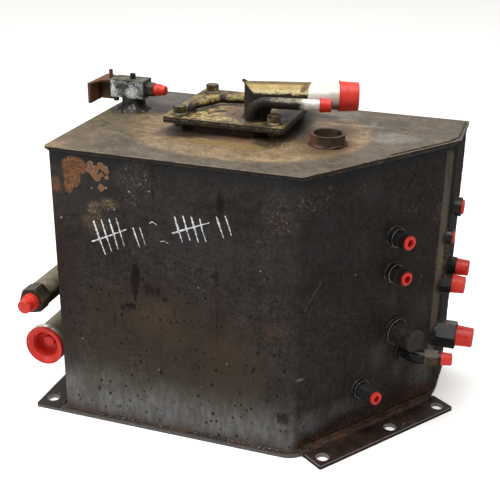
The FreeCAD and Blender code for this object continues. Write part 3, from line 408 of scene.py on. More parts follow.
def lid_paint():
    """Brown worn lid: tan oil disc round the cover, grey rim, dark patches of painted shade and oil soak.
    """
    g = Graph("lid_paint")
    x, y, z = g.axes
    cloud = g.noise(9, 6, 0.62, offset=(4, 0, 1))
    sweep = g.noise(30, 6, 0.68, offset=(1, 5, 1), distortion=0.5)
    fine = g.noise(240, 4, 0.65)
    speck = g.noise(300, 4, 0.75, offset=(3, 1, 8))
    wipe = g.noise(22, 6, 0.72, stretch=(0.65, 1.4, 1), offset=(6, 5, 1), distortion=0.9)
    g.colour = g.mix(g.step(sweep, 0.3, 0.7), (0.057, 0.044, 0.03), (0.118, 0.0935, 0.063))
    lilac = g.step(g.math("ADD", g.times(x, 0.9), g.times(y, -1)), 0.06, 0.16)
    g.coat(lilac, (0.112, 0.089, 0.066), 0.3)
    # tan disc with a brighter outer line
    disc = g.distance(lid(-33, 10), (0.18, 0.148, 1))
    disc = g.shifted(disc, 0.1, g.noise(10, 4, 0.6, offset=(2, 2, 7)))
    disc = g.shifted(disc, 0.06, sweep)
    inside = g.step(disc, 1.06, 0.93)
    tan = g.mix(g.step(sweep, 0.25, 0.75), (0.142, 0.09, 0.043), (0.265, 0.182, 0.096))
    g.coat(inside, tan, 0.85)
    line = g.times(g.step(disc, 0.86, 0.95), g.step(disc, 1.03, 0.97), g.step(x, -0.08, 0.02))
    g.coat(g.times(line, g.step(sweep, 0.35, 0.6)), (0.31, 0.225, 0.118), 0.4)
    swirl = g.times(g.step(g.noise(20, 5, 0.6, stretch=(0.5, 1.8, 1), offset=(2, 9, 7)), 0.48, 0.6), inside)
    g.coat(swirl, (0.35, 0.26, 0.155), 0.2)
    # olive brown left side, orange corner, darker back
    left = g.step(g.shifted(x, 0.1, cloud), -0.15, -0.235)
    g.coat(left, g.mix(g.step(sweep, 0.3, 0.7), (0.07, 0.05, 0.026), (0.132, 0.097, 0.057)), 0.75)
    corner = g.blob(lid(-255, -152), (16, 20, 50), 0.8, 0.3, 40)
    g.coat(corner, (0.36, 0.215, 0.12), 0.4)
    back = g.step(g.shifted(y, 0.08, cloud), 0.02, 0.075)
    back = g.times(back, g.step(x, 0.07, 0.01))
    g.coat(back, g.mix(g.step(sweep, 0.3, 0.7), (0.013, 0.008, 0.0048), (0.036, 0.024, 0.0155)), 0.9)
    grey = g.blobs(lid, [
        ((-200, 130), (30, 45, 50), 0.7, 0.3, 30), ((82, 128), (30, 25, 50), 0.7, 0.4, 40, (1, 7, 3))])
    g.coat(grey, (0.15, 0.13, 0.122), 0.55)
    maroon = g.blobs(lid, [
        ((-195, 52), (26, 18, 50), 0.7, 0.4, 40), ((75, 92), (50, 7, 50), 0.8, 0.4, 50, (4, 4, 3))])
    g.coat(maroon, (0.048, 0.024, 0.018), 0.75)
    # pale worn patches on the right
    worn = g.blobs(lid, [
        ((172, 36), (34, 22, 50), 0.6, 0.35, 50, (5, 9, 0)),
        ((132, 84), (24, 6, 50), 0.5, 0.35, 70, (5, 9, 4)),
        ((136, 88), (5, 19, 50), 0.6, 0.3, 70, (5, 9, 4)),
        ((62, 62), (14, 6, 50), 0.5, 0.3, 70, (5, 2, 4))])
    g.coat(g.times(worn, g.step(sweep, 0.3, 0.6, 0.3, 0.6)), (0.245, 0.225, 0.185))
    # wiped streaks and grain
    g.colour = g.grained(g.colour, wipe, 0.7, 1.28)
    g.colour = g.grained(g.colour, g.noise(110, 4, 0.7, stretch=(0.8, 1.2, 1), offset=(2, 1, 8),
        distortion=0.6), 0.66, 1.34)
    g.colour = g.grained(g.colour, fine, 0.65, 1.35)
    # oily dirt soaking in round the cover, the valve neck and the filler, with painted shade under and
    # round the cover and the valve neck
    shade = g.blobs(lid, [
        ((-55, 46), (98, 98, 50), 0.1, 0.1, 30), ((-112, -48), (32, 22, 50), 0.5, 0.35, 60, (2, 0, 0)),
        ((-70, -44), (50, 13, 50), 0.5, 0.4, 60, (2, 8, 0)),
        ((16, -50), (30, 20, 50), 0.5, 0.35, 60, (5, 3, 0)),
        ((38, 40), (14, 80, 50), 0.5, 0.25, 40, (5, 3, 3)),
        ((-236, 60), (36, 40, 50), 0.5, 0.3, 40, (2, 3, 0)),
        ((55, 112), (30, 12, 50), 0.6, 0.3, 40, (8, 3, 0))])
    g.coat(shade, (0.013, 0.009, 0.0068), 0.92)
    pink = g.blobs(lid, [
        ((-35, -48), (34, 10, 50), 0.8, 0.4, 60, (7, 3, 0)),
        ((-14, -52), (12, 10, 50), 0.8, 0.4, 60, (7, 3, 5))])
    g.coat(pink, (0.17, 0.088, 0.058), 0.55)
    glow = g.blob(lid(-48, -73), (62, 11, 50), 0.7, 0.35, 45, (7, 3, 0))
    g.coat(glow, (0.175, 0.118, 0.03), 0.75)
    amber = g.blob(lid(-8, -72), (16, 12, 50), 0.7, 0.35, 45, (7, 3, 4))
    g.coat(g.times(amber, g.step(sweep, 0.35, 0.6, 0.15, 0.55)), (0.215, 0.12, 0.038))
    ring = g.shifted(g.distance(lid(92.4, -22.2), (0.035, 0.035, 1)), 0.8,
        g.noise(70, 5, 0.7, offset=(3, 8, 8)))
    g.coat(g.step(ring, 1.3, 0.85, 0, 0.85),
        g.mix(g.step(speck, 0.4, 0.6), (0.042, 0.021, 0.011), (0.15, 0.08, 0.034)))
    stain = g.blobs(lid, [
        ((88, -52), (40, 30, 50), 0.6, 0.35, 45, (7, 7, 4)),
        ((62, -14), (16, 50, 50), 0.6, 0.35, 45, (7, 9, 4))])
    g.coat(g.times(stain, g.step(sweep, 0.3, 0.6, 0.5, 0.9)), (0.088, 0.052, 0.024))
    flake = g.times(g.blob(lid(50, -52), (24, 16, 50), 0.8, 0.5, 70, (7, 7, 9)), g.step(speck, 0.5, 0.6))
    g.coat(flake, (0.42, 0.3, 0.155), 0.8)
    # rim, specks, rust and the bare worn edge
    g.coat(g.step(speck, 0.58, 0.68), (0.055, 0.038, 0.024), 0.4)
    g.coat(g.step(speck, 0.4, 0.3), (0.3, 0.25, 0.19), 0.25)
    rusty = g.times(g.step(g.noise(38, 5, 0.7, offset=(9, 1, 8)), 0.58, 0.72), 0.5)
    g.coat(rusty, (0.125, 0.072, 0.036))
    # painted shade: the lid's side edge is coloured near black
    side = g.step(z, 0.42395, 0.423)
    g.coat(side, (0.016, 0.0115, 0.0085))
    bare = g.times(g.step(z, 0.4226, 0.4234), g.step(z, 0.42395, 0.4237))
    bare = g.times(bare, g.step(g.noise(60, 4, 0.6, offset=(2, 2, 2)), 0.36, 0.56, 0.35, 1))
    g.coat(bare, (0.36, 0.28, 0.19))
    rough = g.step(sweep, 0.3, 0.7, 0.46, 0.62)
    rough = g.math("SUBTRACT", rough, g.times(shade, 0.12))
    relief = g.math("ADD", g.times(fine, 0.5), g.times(g.noise(60, 4, 0.6), 0.6))
    normal = g.bump(relief, 0.45, 0.0006)
    normal = g.bump(g.noise(6, 2, 0.5, offset=(1, 1, 0)), 0.4, 0.008, normal)
    return g.surface(g.colour, rough, 0, normal, Specular_IOR_Level=0.3)


def grimy_steel(name, dark, light, rust_share, roughness=(0.45, 0.7), scale=60.0, metallic=0.0, seed=0,
                rust_tone=RUST, specular=0.4):
    """Dirty or rusty metal: two tones, rust bloom, pits and fine relief."""
    g = Graph(name)
    offset = (seed, seed * 0.7, seed * 0.3)
    cloud = g.noise(scale, 5, 0.65, offset=offset)
    fine = g.noise(scale * 6, 4, 0.65, offset=offset)
    bloom = g.noise(scale * 0.55, 5, 0.7, offset=(offset[0] + 5, 1, 2))
    g.colour = g.mix(g.step(cloud, 0.3, 0.7), dark, light)
    threshold = 0.75 - 0.4 * rust_share
    rust = g.step(bloom, threshold - 0.06, threshold + 0.06)
    rust_colour = g.mix(g.step(fine, 0.35, 0.65), RUST_DARK, rust_tone)
    g.coat(rust, rust_colour, 0.85)
    g.coat(g.step(fine, 0.6, 0.72), [c * 0.3 for c in dark], 0.45)
    rough = g.step(cloud, 0.3, 0.7, *roughness)
    rough = g.math("ADD", rough, g.times(rust, 0.15), clamp=True)
    metal = g.times(g.inverse(rust), metallic)
    relief = g.math("ADD", g.times(fine, 0.6), g.times(rust, 0.5))
    normal = g.bump(relief, 0.5, 0.0006)
    return g.surface(g.colour, rough, metal, normal, Specular_IOR_Level=specular)


def foot_steel():
    """Dark rusty plate with thin bright worn edges and grey rims round the bolt holes."""
    g = Graph("foot_steel")
    x, _, z = g.axes
    cloud = g.noise(40, 5, 0.65, offset=(3, 2, 1))
    fine = g.noise(300, 4, 0.7)
    g.colour = g.mix(g.step(cloud, 0.3, 0.7), (0.0125, 0.0062, 0.0045), (0.032, 0.016, 0.0115))
    g.coat(g.step(cloud, 0.58, 0.72), (0.075, 0.032, 0.017), 0.7)
    g.coat(g.step(fine, 0.58, 0.68), (0.11, 0.06, 0.036), 0.5)
    pale = g.times(g.step(g.noise(90, 5, 0.75, offset=(3, 3, 7)), 0.6, 0.68),
        g.step(g.noise(14, 2, 0.5, offset=(1, 4, 7)), 0.5, 0.62))
    g.coat(pale, (0.22, 0.165, 0.105), 0.65)
    off = g.along(B, OUTWARD)
    s = g.along(B, ALONG)
    right = g.step(x, 0.085, 0.095)
    worn = g.most(g.times(g.step(off, 0.0474, 0.048), right), g.step(x, -0.3092, -0.3097),
        g.times(g.step(s, 0.0134, 0.0128), right, g.step(off, 0.0085, 0.0095)),
        g.times(g.step(s, 0.2766, 0.2772), right))
    worn = g.times(worn, g.step(z, 0.004, 0.0054), g.step(fine, 0.35, 0.5, 0.5, 1))
    rims = None
    for hole_s in FOOT_HOLES:
        p = B + ALONG * (hole_s / 1000) + OUTWARD * 0.033
        d = g.distance(p, (HOLE_RADIUS, HOLE_RADIUS, 1))
        rims = d if rims is None else g.math("MINIMUM", rims, d)
    for hole_y in (-148.4, 147.6):
        rims = g.math("MINIMUM", rims, g.distance((X0 - 0.03, hole_y / 1000, 0),
            (HOLE_RADIUS, HOLE_RADIUS, 1)))
    rim = g.times(g.step(rims, 1.16, 1.06), 0.8)
    lip = g.times(g.step(z, 0.0052, 0.0048), g.step(z, 0.0005, 0.0015), g.step(off, 0.0082, 0.0078))
    g.coat(g.times(lip, g.step(fine, 0.3, 0.6, 0.35, 0.75)), (0.155, 0.15, 0.14))
    g.coat(g.most(g.times(worn, 0.5), g.times(rim, 0.85)), (0.28, 0.265, 0.245))
    relief = g.math("ADD", g.times(fine, 0.6), g.times(cloud, 0.5))
    rough = g.step(cloud, 0.3, 0.7, 0.42, 0.62)
    return g.surface(g.colour, rough, 0, g.bump(relief, 0.5, 0.0006), Specular_IOR_Level=0.35)


def return_tube_paint():
    """Large tube: glossy gold on top with a painted highlight, brown soak and painted shade below, bare
    zinc towards its cap with painted shade under it.
    """
    g = Graph("return_tube_gold")
    x, _, z = g.axes
    cloud = g.noise(45, 5, 0.6, offset=(1, 1, 1))
    speck = g.noise(230, 5, 0.75, offset=(6, 1, 1))
    fine = g.noise(520, 3, 0.6)
    turn = math.radians(RETURN_TURN)
    gold = g.mix(g.step(cloud, 0.3, 0.7), (0.215, 0.145, 0.036), (0.37, 0.27, 0.092))
    # painted highlight: the top of the tube is lightened towards pale cream
    bright = g.step(g.shifted(z, 0.006, speck), 0.4895, 0.4845)
    gold = g.mix(g.times(bright, 0.85), gold, (0.66, 0.56, 0.31))
    gold = g.mix(g.times(g.step(speck, g.step(z, 0.492, 0.482, 0.58, 0.48), 0.66), 0.8), gold,
        (0.045, 0.03, 0.014))
    # painted shade darkens the tube below about its middle, and the leg below the mitre is soaked dark
    # brown
    height = g.shifted(z, 0.009, g.noise(260, 5, 0.75, offset=(4, 4, 1)))
    height = g.shifted(height, 0.006, g.noise(50, 3, 0.6, offset=(4, 7, 1)))
    soak_and_underside_shade = g.step(height, 0.483, 0.4815)
    soak_and_underside_shade = g.most(soak_and_underside_shade, g.step(g.shifted(g.along(KNEE, (math.cos(turn), math.sin(turn), 1)), 0.004,
        speck), 0.001, -0.001))
    crest = g.times(g.step(z, 0.4928, 0.4945), g.step(cloud, 0.4, 0.6, 0.5, 1), 0.75)
    dark = g.mix(g.step(speck, 0.4, 0.62), (0.0085, 0.0052, 0.0036), (0.04, 0.024, 0.012))
    g.colour = g.mix(g.most(soak_and_underside_shade, crest), gold, dark)
    scar = g.blob((0.0495, -0.001, 0.4905), (5, 30, 6), 0.5, 0.4, 140)
    g.coat(scar, (0.05, 0.012, 0.008), 0.9)
    bare = g.step(g.shifted(x, 0.003, fine), 0.055, 0.0565)
    zinc = g.mix(g.step(g.noise(30, 3, 0.5, stretch=(1, 0.3, 1)), 0.4, 0.6), (0.66, 0.62, 0.55),
        (0.86, 0.83, 0.76))
    zinc = g.mix(g.times(g.step(z, 0.4885, 0.4905), g.step(z, 0.4935, 0.4915), 0.7), zinc, (0.6, 0.5, 0.2))
    # painted shade: the bare zinc turns dark blue-grey low on the tube
    zinc = g.mix(g.times(g.step(z, 0.472, 0.464), 0.9), zinc, (0.085, 0.09, 0.105))
    g.coat(bare, zinc)
    rough = g.step(cloud, 0.3, 0.7, 0.32, 0.46)
    rough = g.math("ADD", rough, g.times(soak_and_underside_shade, g.inverse(bare), 0.3))
    metal = g.math("ADD", g.times(bare, 0.35), g.times(g.inverse(g.most(soak_and_underside_shade, bare)), 0.2))
    relief = g.math("ADD", g.times(speck, 0.6), g.times(fine, 0.3))
    normal = g.bump(g.times(relief, g.inverse(bare)), 0.6, 0.0009)
    return g.surface(g.colour, rough, metal, normal, Specular_IOR_Level=0.35)


def small_tube_paint():
    """Small cover tubes: black and brown at the bends and, as painted shade, on their undersides; gold
    flakes on their upper side; a paler grey painted-light top on the bypass arm; grey-white near the cap.
    """
    g = Graph("small_tube_gold")
    x, y, z = g.axes
    cloud = g.noise(60, 5, 0.65, offset=(5, 3, 1))
    speck = g.noise(200, 5, 0.78, offset=(6, 5, 1))
    dark = g.mix(g.step(speck, 0.42, 0.64), (0.007, 0.005, 0.004), (0.026, 0.018, 0.012))
    gold = g.mix(g.step(cloud, 0.3, 0.7), (0.205, 0.135, 0.036), (0.46, 0.37, 0.15))
    gold = g.mix(g.step(g.noise(260, 4, 0.75, offset=(1, 5, 1)), 0.52, 0.6), gold, (0.045, 0.028, 0.012))
    # painted shade: gold shows only above this height, so the tubes' undersides stay dark
    upper = g.step(g.shifted(z, 0.008, speck), 0.4525, 0.455)
    flakes = g.times(g.step(speck, 0.4, 0.48), g.most(g.step(y, 0.01, 0.02), g.step(x, -0.07, -0.09)),
        g.inverse(g.blob((-0.1155, -0.005, 0.449), (12, 14, 12), 0.4, 0.3, 90)),
        g.inverse(g.blob((-0.085, 0.052, 0.455), (9, 10, 12), 0.4, 0.4, 90, (3, 3, 3))))
    g.colour = g.mix(g.times(flakes, upper), dark, gold)
    on_bypass = g.times(g.step(y, 0.004, 0), g.step(x, -0.03, -0.02))
    arm = g.step(x, 0, 0.03)
    # painted light: the lit top of the bypass arm is coloured paler grey
    top = g.step(g.shifted(z, 0.006, speck), 0.4745, 0.4775)
    grey = g.mix(g.step(speck, 0.4, 0.6), (0.06, 0.048, 0.034), (0.31, 0.27, 0.19))
    g.coat(g.times(on_bypass, arm, top), grey)
    bare = g.times(on_bypass, g.step(g.shifted(x, 0.016, speck), 0.048, 0.06))
    zinc = g.mix(g.step(cloud, 0.35, 0.65), (0.46, 0.435, 0.39), (0.78, 0.76, 0.71))
    zinc = g.mix(g.times(g.step(speck, 0.56, 0.66), 0.55), zinc, (0.13, 0.11, 0.085))
    g.coat(bare, zinc)
    rough = g.math("SUBTRACT", g.step(cloud, 0.3, 0.7, 0.5, 0.66),
        g.times(g.most(bare, g.times(flakes, upper)), 0.2))
    metal = g.times(bare, 0.3)
    normal = g.bump(speck, 0.6, 0.0009)
    return g.surface(g.colour, rough, metal, normal, Specular_IOR_Level=0.3)


def side_tube_paint():
    """Left side tubes: khaki-gold paint where they catch the light, painted shade in near black underneath.
    """
    g = Graph("side_tube_gold")
    _, _, z = g.axes
    cloud = g.noise(40, 5, 0.65, offset=(9, 5, 1))
    speck = g.noise(180, 5, 0.75, offset=(6, 9, 1))
    paint = g.mix(g.step(cloud, 0.3, 0.7), (0.11, 0.09, 0.048), (0.235, 0.2, 0.13))
    paint = g.mix(g.times(g.step(speck, 0.54, 0.64), 0.6), paint, (0.042, 0.032, 0.02))
    # painted shade: below each tube's middle the paint turns near black
    upper_tube = g.step(z, 0.14, 0.145)
    low = g.mix(upper_tube, g.step(g.shifted(z, 0.008, cloud), 0.094, 0.082),
        g.step(g.shifted(z, 0.01, cloud), 0.1905, 0.184))
    g.colour = g.mix(low, paint, (0.0085, 0.007, 0.0058))
    rough = g.step(cloud, 0.3, 0.7, 0.34, 0.5)
    return g.surface(g.colour, rough, 0, g.bump(speck, 0.4, 0.0005))


def cover_paint():
    """Cover plate: olive-gold paint flaking off dark pitted metal, pinkish bare middle."""
    g = Graph("cover_paint")
    x, y, z = g.axes
    flakes = g.noise(70, 6, 0.75, offset=(2, 3, 1), distortion=0.8)
    cloud = g.noise(24, 4, 0.6, offset=(6, 3, 1))
    fine = g.noise(380, 4, 0.7)
    paint = g.mix(g.step(cloud, 0.3, 0.7), (0.165, 0.108, 0.028), (0.36, 0.27, 0.095))
    bare = g.mix(g.step(fine, 0.3, 0.7), (0.016, 0.0095, 0.006), (0.09, 0.058, 0.034))
    g.colour = g.mix(g.step(flakes, 0.46, 0.52), bare, paint)
    middle = g.blob((-0.052, 0.02, COVER_TOP), (36, 48, 30), 0.6, 0.35, 45)
    rosy = g.mix(g.step(fine, 0.35, 0.65), (0.105, 0.06, 0.042), (0.25, 0.165, 0.122))
    g.coat(middle, rosy, 0.75)
    bright = g.times(g.step(g.noise(150, 5, 0.75, offset=(1, 8, 5)), 0.5, 0.58),
        g.most(g.blob((-0.088, 0, COVER_TOP), (20, 45, 30), 0.7, 0.3, 45),
        g.blob((-0.06, -0.024, COVER_TOP), (45, 12, 30), 0.7, 0.3, 45, (3, 3, 3))))
    g.coat(bright, (0.52, 0.43, 0.19), 0.8)
    # darker patches round the tube bases and in noisy spots, and painted shade down the plate's sides below
    # its top
    dark_patches_and_side_shade = g.most(g.blob((-0.004, 0.006, COVER_TOP), (40, 34, 20), 0.5, 0.35, 60, (1, 1, 7)),
        g.blob((0.016, 0.06, COVER_TOP), (20, 50, 20), 0.5, 0.35, 60, (1, 5, 7)),
        g.step(g.noise(40, 5, 0.75, offset=(1, 8, 1)), 0.52, 0.6),
        g.step(z, COVER_TOP - 0.0002, COVER_TOP - 0.0014))
    g.coat(dark_patches_and_side_shade, (0.015, 0.0105, 0.0072), 0.9)
    rim = g.most(g.step(x, -0.1405, -0.143), g.step(y, -0.0378, -0.04))
    rim = g.times(rim, g.step(z, COVER_TOP - 0.0012, COVER_TOP - 0.0004), g.step(fine, 0.36, 0.52, 0.35, 1))
    g.coat(rim, (0.2, 0.165, 0.105), 0.45)
    low = g.times(g.step(z, 0.4424, 0.4418), g.step(z, 0.4396, 0.4402))
    g.coat(g.times(low, g.step(fine, 0.44, 0.6)), (0.16, 0.14, 0.105))
    rough = g.step(flakes, 0.4, 0.55, 0.38, 0.55)
    relief = g.math("ADD", g.step(flakes, 0.46, 0.54), g.times(fine, 0.35))
    normal = g.bump(relief, 0.5, 0.0006)
    return g.surface(g.colour, rough, 0, normal, Specular_IOR_Level=0.28)


def block_metal():
    """Corroded aluminium block: dark oxide, white bloom, olive film on its top."""
    g = Graph("block_aluminium")
    x, _, z = g.axes
    cloud = g.noise(55, 5, 0.7, offset=(7, 3, 1), distortion=0.6)
    fine = g.noise(330, 5, 0.8)
    g.colour = g.mix(g.step(cloud, 0.42, 0.58), (0.02, 0.02, 0.018), (0.165, 0.172, 0.168))
    bloom = g.times(g.step(fine, 0.47, 0.58), g.step(cloud, 0.44, 0.58))
    g.coat(bloom, (0.6, 0.63, 0.62), 0.85)
    pale = g.most(g.blob((-0.261, 0.0367, 0.4555), (6, 10, 12), 0.5, 0.4, 120),
        g.blob((-0.228, 0.0367, 0.452), (10, 10, 8), 0.6, 0.4, 120, (3, 3, 3)))
    g.coat(g.times(pale, g.step(fine, 0.4, 0.52)), (0.66, 0.7, 0.69))
    hollow = g.blob((-0.244, 0.0367, 0.461), (11, 10, 6), 0.4, 0.3, 80)
    g.coat(hollow, (0.022, 0.022, 0.021), 0.8)
    top = g.step(z, 0.47, 0.4703)
    film = g.mix(g.step(cloud, 0.4, 0.6), (0.034, 0.032, 0.018), (0.088, 0.08, 0.05))
    g.coat(top, film, 0.85)
    # painted shade: the block's right face is coloured a darker brown
    right = g.step(x, -0.211, -0.2093)
    g.coat(right, (0.04, 0.032, 0.022), 0.8)
    rim = g.times(g.step(z, 0.4688, 0.4698), g.step(fine, 0.45, 0.6, 0.2, 0.8))
    g.coat(g.times(rim, g.inverse(top)), (0.05, 0.046, 0.026))
    return g.surface(g.colour, 0.62, 0.1, g.bump(fine, 0.6, 0.0008), Specular_IOR_Level=0.4)


def red_plastic():
    """Moulded soft polyethylene with light scuffs and a little oil."""
    g = Graph("red_plastic")
    cloud = g.noise(60, 4, 0.6)
    fine = g.noise(700, 3, 0.6)
    g.colour = g.mix(g.step(cloud, 0.3, 0.7), (0.53, 0.022, 0.012), (0.66, 0.036, 0.02))
    scuff = g.step(g.noise(170, 6, 0.75, stretch=(1, 1, 0.5)), 0.61, 0.7)
    g.coat(scuff, (0.74, 0.17, 0.1), 0.3)
    dirt = g.step(g.noise(110, 5, 0.75, offset=(2, 2, 2)), 0.6, 0.7)
    g.coat(dirt, (0.2, 0.016, 0.01), 0.45)
    rough = g.math("ADD", g.step(cloud, 0.3, 0.7, 0.33, 0.46), g.times(scuff, 0.2))
    normal = g.bump(g.math("ADD", fine, g.times(cloud, 2)), 0.3, 0.0004)
    return g.surface(g.colour, rough, 0, normal, Subsurface_Weight=0.06, Subsurface_Scale=0.002,
        Specular_IOR_Level=0.4)


def rubber():
    g = Graph("gasket_rubber")
    g.colour = g.mix(g.step(g.noise(120), 0.4, 0.7), (0.01, 0.009, 0.008), (0.04, 0.035, 0.03))
    return g.surface(g.colour, 0.75, 0, g.bump(g.noise(500), 0.4, 0.0004))


def weld_metal(name, dark, light, rust, share, seed):
    """Weld bead: dark scale with paler spatter and rust."""
    g = Graph(name)
    cloud = g.noise(110, 5, 0.75, offset=(seed, 0, 0))
    g.colour = g.mix(g.step(cloud, 0.38, 0.62), dark, light)
    bloom = g.step(g.noise(60, 5, 0.75, offset=(0, seed, 0)), 0.62 - share * 0.3, 0.7 - share * 0.3)
    g.coat(bloom, rust, 0.8)
    normal = g.bump(g.noise(700, 3), 0.5, 0.0005)
    return g.surface(g.colour, g.step(cloud, 0.3, 0.7, 0.42, 0.65), 0, normal, Specular_IOR_Level=0.35)


def dab_paint():
    g = Graph("dab_paint")
    return g.surface(g.mix(g.step(g.noise(400), 0.4, 0.6), (0.62, 0.1, 0.05), (0.4, 0.05, 0.03)), 0.5)


def paint_pen():
    g = Graph("paint_pen")
    g.colour = g.mix(g.step(g.noise(320, 5, 0.75), 0.42, 0.6), (0.74, 0.74, 0.75), (0.24, 0.24, 0.26))
    return g.surface(g.colour, 0.55, 0, g.bump(g.noise(500), 0.3, 0.0002))


MATERIALS = {
    "tank": tank_paint(),
    "lid": lid_paint(),
    "foot": foot_steel(),
    "neck": grimy_steel("neck_steel", (0.028, 0.017, 0.011), (0.095, 0.06, 0.038), 0.5, seed=8),
    "bracket": grimy_steel("bracket_steel", (0.045, 0.019, 0.009), (0.135, 0.062, 0.026), 0.6, seed=12),
    "inner": grimy_steel("inner_steel", (0.06, 0.05, 0.045), (0.16, 0.14, 0.12), 0.2, seed=1),
    "cover": cover_paint(),
    "tube": return_tube_paint(),
    "thin_tube": small_tube_paint(),
    "side_tube": side_tube_paint(),
    "bolt": grimy_steel("bolt_zinc", (0.012, 0.0085, 0.0055), (0.11, 0.08, 0.034), 0.42, (0.34, 0.5),
        scale=150, metallic=0.1, seed=4, rust_tone=(0.48, 0.38, 0.17)),
    "bright": grimy_steel("bright_zinc", (0.42, 0.39, 0.33), (0.8, 0.77, 0.7), 0, (0.22, 0.36),
        metallic=0.7, seed=6),
    "block": block_metal(),
    "small": grimy_steel("small_steel", (0.015, 0.012, 0.0085), (0.058, 0.048, 0.032), 0.25, metallic=0.2,
        seed=9),
    "black": grimy_steel("black_fitting", (0.0065, 0.0065, 0.0065), (0.018, 0.0175, 0.0165), 0.05,
        (0.24, 0.4), seed=11, rust_tone=(0.1, 0.055, 0.03)),
    "blank": grimy_steel("blanking_cap", (0.0095, 0.0072, 0.0058), (0.04, 0.029, 0.022), 0.12, (0.36, 0.52),
        scale=160, seed=15),
    "nut": grimy_steel("nut_gold", (0.0085, 0.0068, 0.0045), (0.085, 0.066, 0.026), 0.26, (0.28, 0.45),
        scale=110, metallic=0.15, seed=13, rust_tone=(0.4, 0.32, 0.13)),
    "hex": grimy_steel("supply_hex", (0.0125, 0.0105, 0.007), (0.05, 0.042, 0.022), 0.18, (0.3, 0.46),
        scale=90, seed=17, rust_tone=(0.26, 0.205, 0.095)),
    "red": red_plastic(),
    "rubber": rubber(),
    "weld": weld_metal("weld_dark", (0.0095, 0.0075, 0.006), (0.04, 0.029, 0.021), (0.075, 0.034, 0.018),
        0.3, 2),
    "weld_rust": weld_metal("weld_rust", (0.0095, 0.0055, 0.004), (0.052, 0.03, 0.019),
        (0.085, 0.036, 0.018), 0.45, 5),
    "sealant": weld_metal("sealant", (0.004, 0.0034, 0.003), (0.018, 0.0145, 0.012), (0.26, 0.245, 0.22),
        0.1, 12),
    "rim": grimy_steel("pale_rim", (0.06, 0.058, 0.054), (0.26, 0.25, 0.235), 0, (0.4, 0.6), scale=90,
        seed=21),
    "weld_pale": weld_metal("weld_pale", (0.1, 0.08, 0.06), (0.36, 0.33, 0.29), (0.17, 0.1, 0.05), 0.2, 7),
    "pen": paint_pen(),
    "dab": dab_paint(),
}

NODE_MATERIALS = {
    "tank": ["shell_wrap", "back_panel"],
    "lid": ["lid_plate"],
    "foot": ["base_plate", "left_foot", "right_foot", "cover_neck"],
    "neck": ["filler_neck", "valve_neck"],
    "bracket": ["bracket", "bracket_screw"],
    "inner": ["baffle_plate", "return_drop_pipe", "return_diffuser", "suction_pickup", "suction_strainer",
        "valve_seat", "valve_spring"],
    "cover": ["cover_plate", "cover_flange"],
    "tube": ["return_elbow"],
    "thin_tube": ["bypass_tube", "cross_tube"],
    "side_tube": ["suction_elbow", "supply_elbow"],
    "bolt": ["cover_bolts", "cover_weld_nuts"],
    "bright": ["suction_ferrule"],
    "block": ["valve_block"],
    "small": ["valve_poppet", "valve_bottom_plug", "valve_adapter"],
    "black": ["valve_top_plug", "weld_bosses", "port_adapters", "drain_nipple", "elbow_body",
        "side_adapters", "side_adapter_large"],
    "blank": ["blanking_cap"],
    "nut": ["elbow_nut"],
    "hex": ["supply_adapter"],
    "rubber": ["cover_gasket"],
    "red": ["cap_return", "cap_bypass", "cap_valve", "cap_supply", "plug_suction", "plug_upper_port",
        "plug_middle_port", "plug_drain", "cap_elbow", "plug_rear_top", "plug_front_top", "cap_rear_mid",
        "cap_front_mid", "cap_front_low"],
}


def dress(obj, material):
    obj.data.materials.clear()
    obj.data.materials.append(material)


for key, names in NODE_MATERIALS.items():
    for name in names:
        dress(NODES[name], MATERIALS[key])


# ---------------------------------------------------------------- mesh helpers
def new_mesh(name, verts, faces, material, body="tank", slot=None, smooth=True):
    mesh = bpy.data.meshes.new(name)
    mesh.from_pydata(verts, [], faces)
    mesh.update()
    for poly in mesh.polygons:
        poly.use_smooth = smooth
    obj = bpy.data.objects.new(name, mesh)
    bpy.context.scene.collection.objects.link(obj)
    dress(obj, MATERIALS[material])
    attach(obj, body)
    return obj


def resample(points, step, closed):
    """Evenly spaced points along a polyline."""
    pts = [Vector(p) for p in points]
    if closed:
        pts.append(pts[0])
    lengths = [0]
    for a, b in zip(pts, pts[1:]):
        lengths.append(lengths[-1] + (b - a).length)
    count = max(3, round(lengths[-1] / step))
    out, k = [], 0
    for i in range(count + (0 if closed else 1)):
        d = lengths[-1] * i / count
        while k < len(lengths) - 2 and lengths[k + 1] < d:
            k += 1
        span = lengths[k + 1] - lengths[k]
        out.append(pts[k].lerp(pts[k + 1], (d - lengths[k]) / span if span else 0))
    return out


def bead_mesh(points, radius, closed, seed, pitch=0.0042, sides=8, step=0.0014, rough=0.22):
    """Vertices and faces of a rippled weld bead along a path."""
    path = resample(points, step, closed)
    count = len(path)
    verts, faces = [], []
    rng = random.Random(seed)
    phase = rng.random() * 10
    for i, p in enumerate(path):
        before = path[i - 1] if closed or i > 0 else p
        after = path[(i + 1) % count] if closed or i < count - 1 else p
        t = (after - before).normalized()
        side = t.cross(UP)
        if side.length < 0.1:
            side = t.cross(Vector((1, 0, 0)))
        side.normalize()
        over = side.cross(t)
        ripple = abs(math.sin(math.pi * i * step / pitch + phase))
        swell = noise.noise(p * 90 + Vector((phase, 0, 0)))
        r = radius * (0.84 + 0.16 * ripple + rough * swell)
        if not closed and i in (0, count - 1):
            r *= 0.45
        for k in range(sides):
            a = 2 * math.pi * k / sides
            verts.append(p + side * (r * math.cos(a)) + over * (r * math.sin(a)))
    rings = count if closed else count - 1
    for i in range(rings):
        a, b = i * sides, (i + 1) % count * sides
        for k in range(sides):
            m = (k + 1) % sides
            faces.append((a + k, a + m, b + m, b + k))
    if not closed:
        faces.append(tuple(reversed(range(sides))))
        faces.append(tuple(((count - 1) * sides + k for k in range(sides))))
    return verts, faces


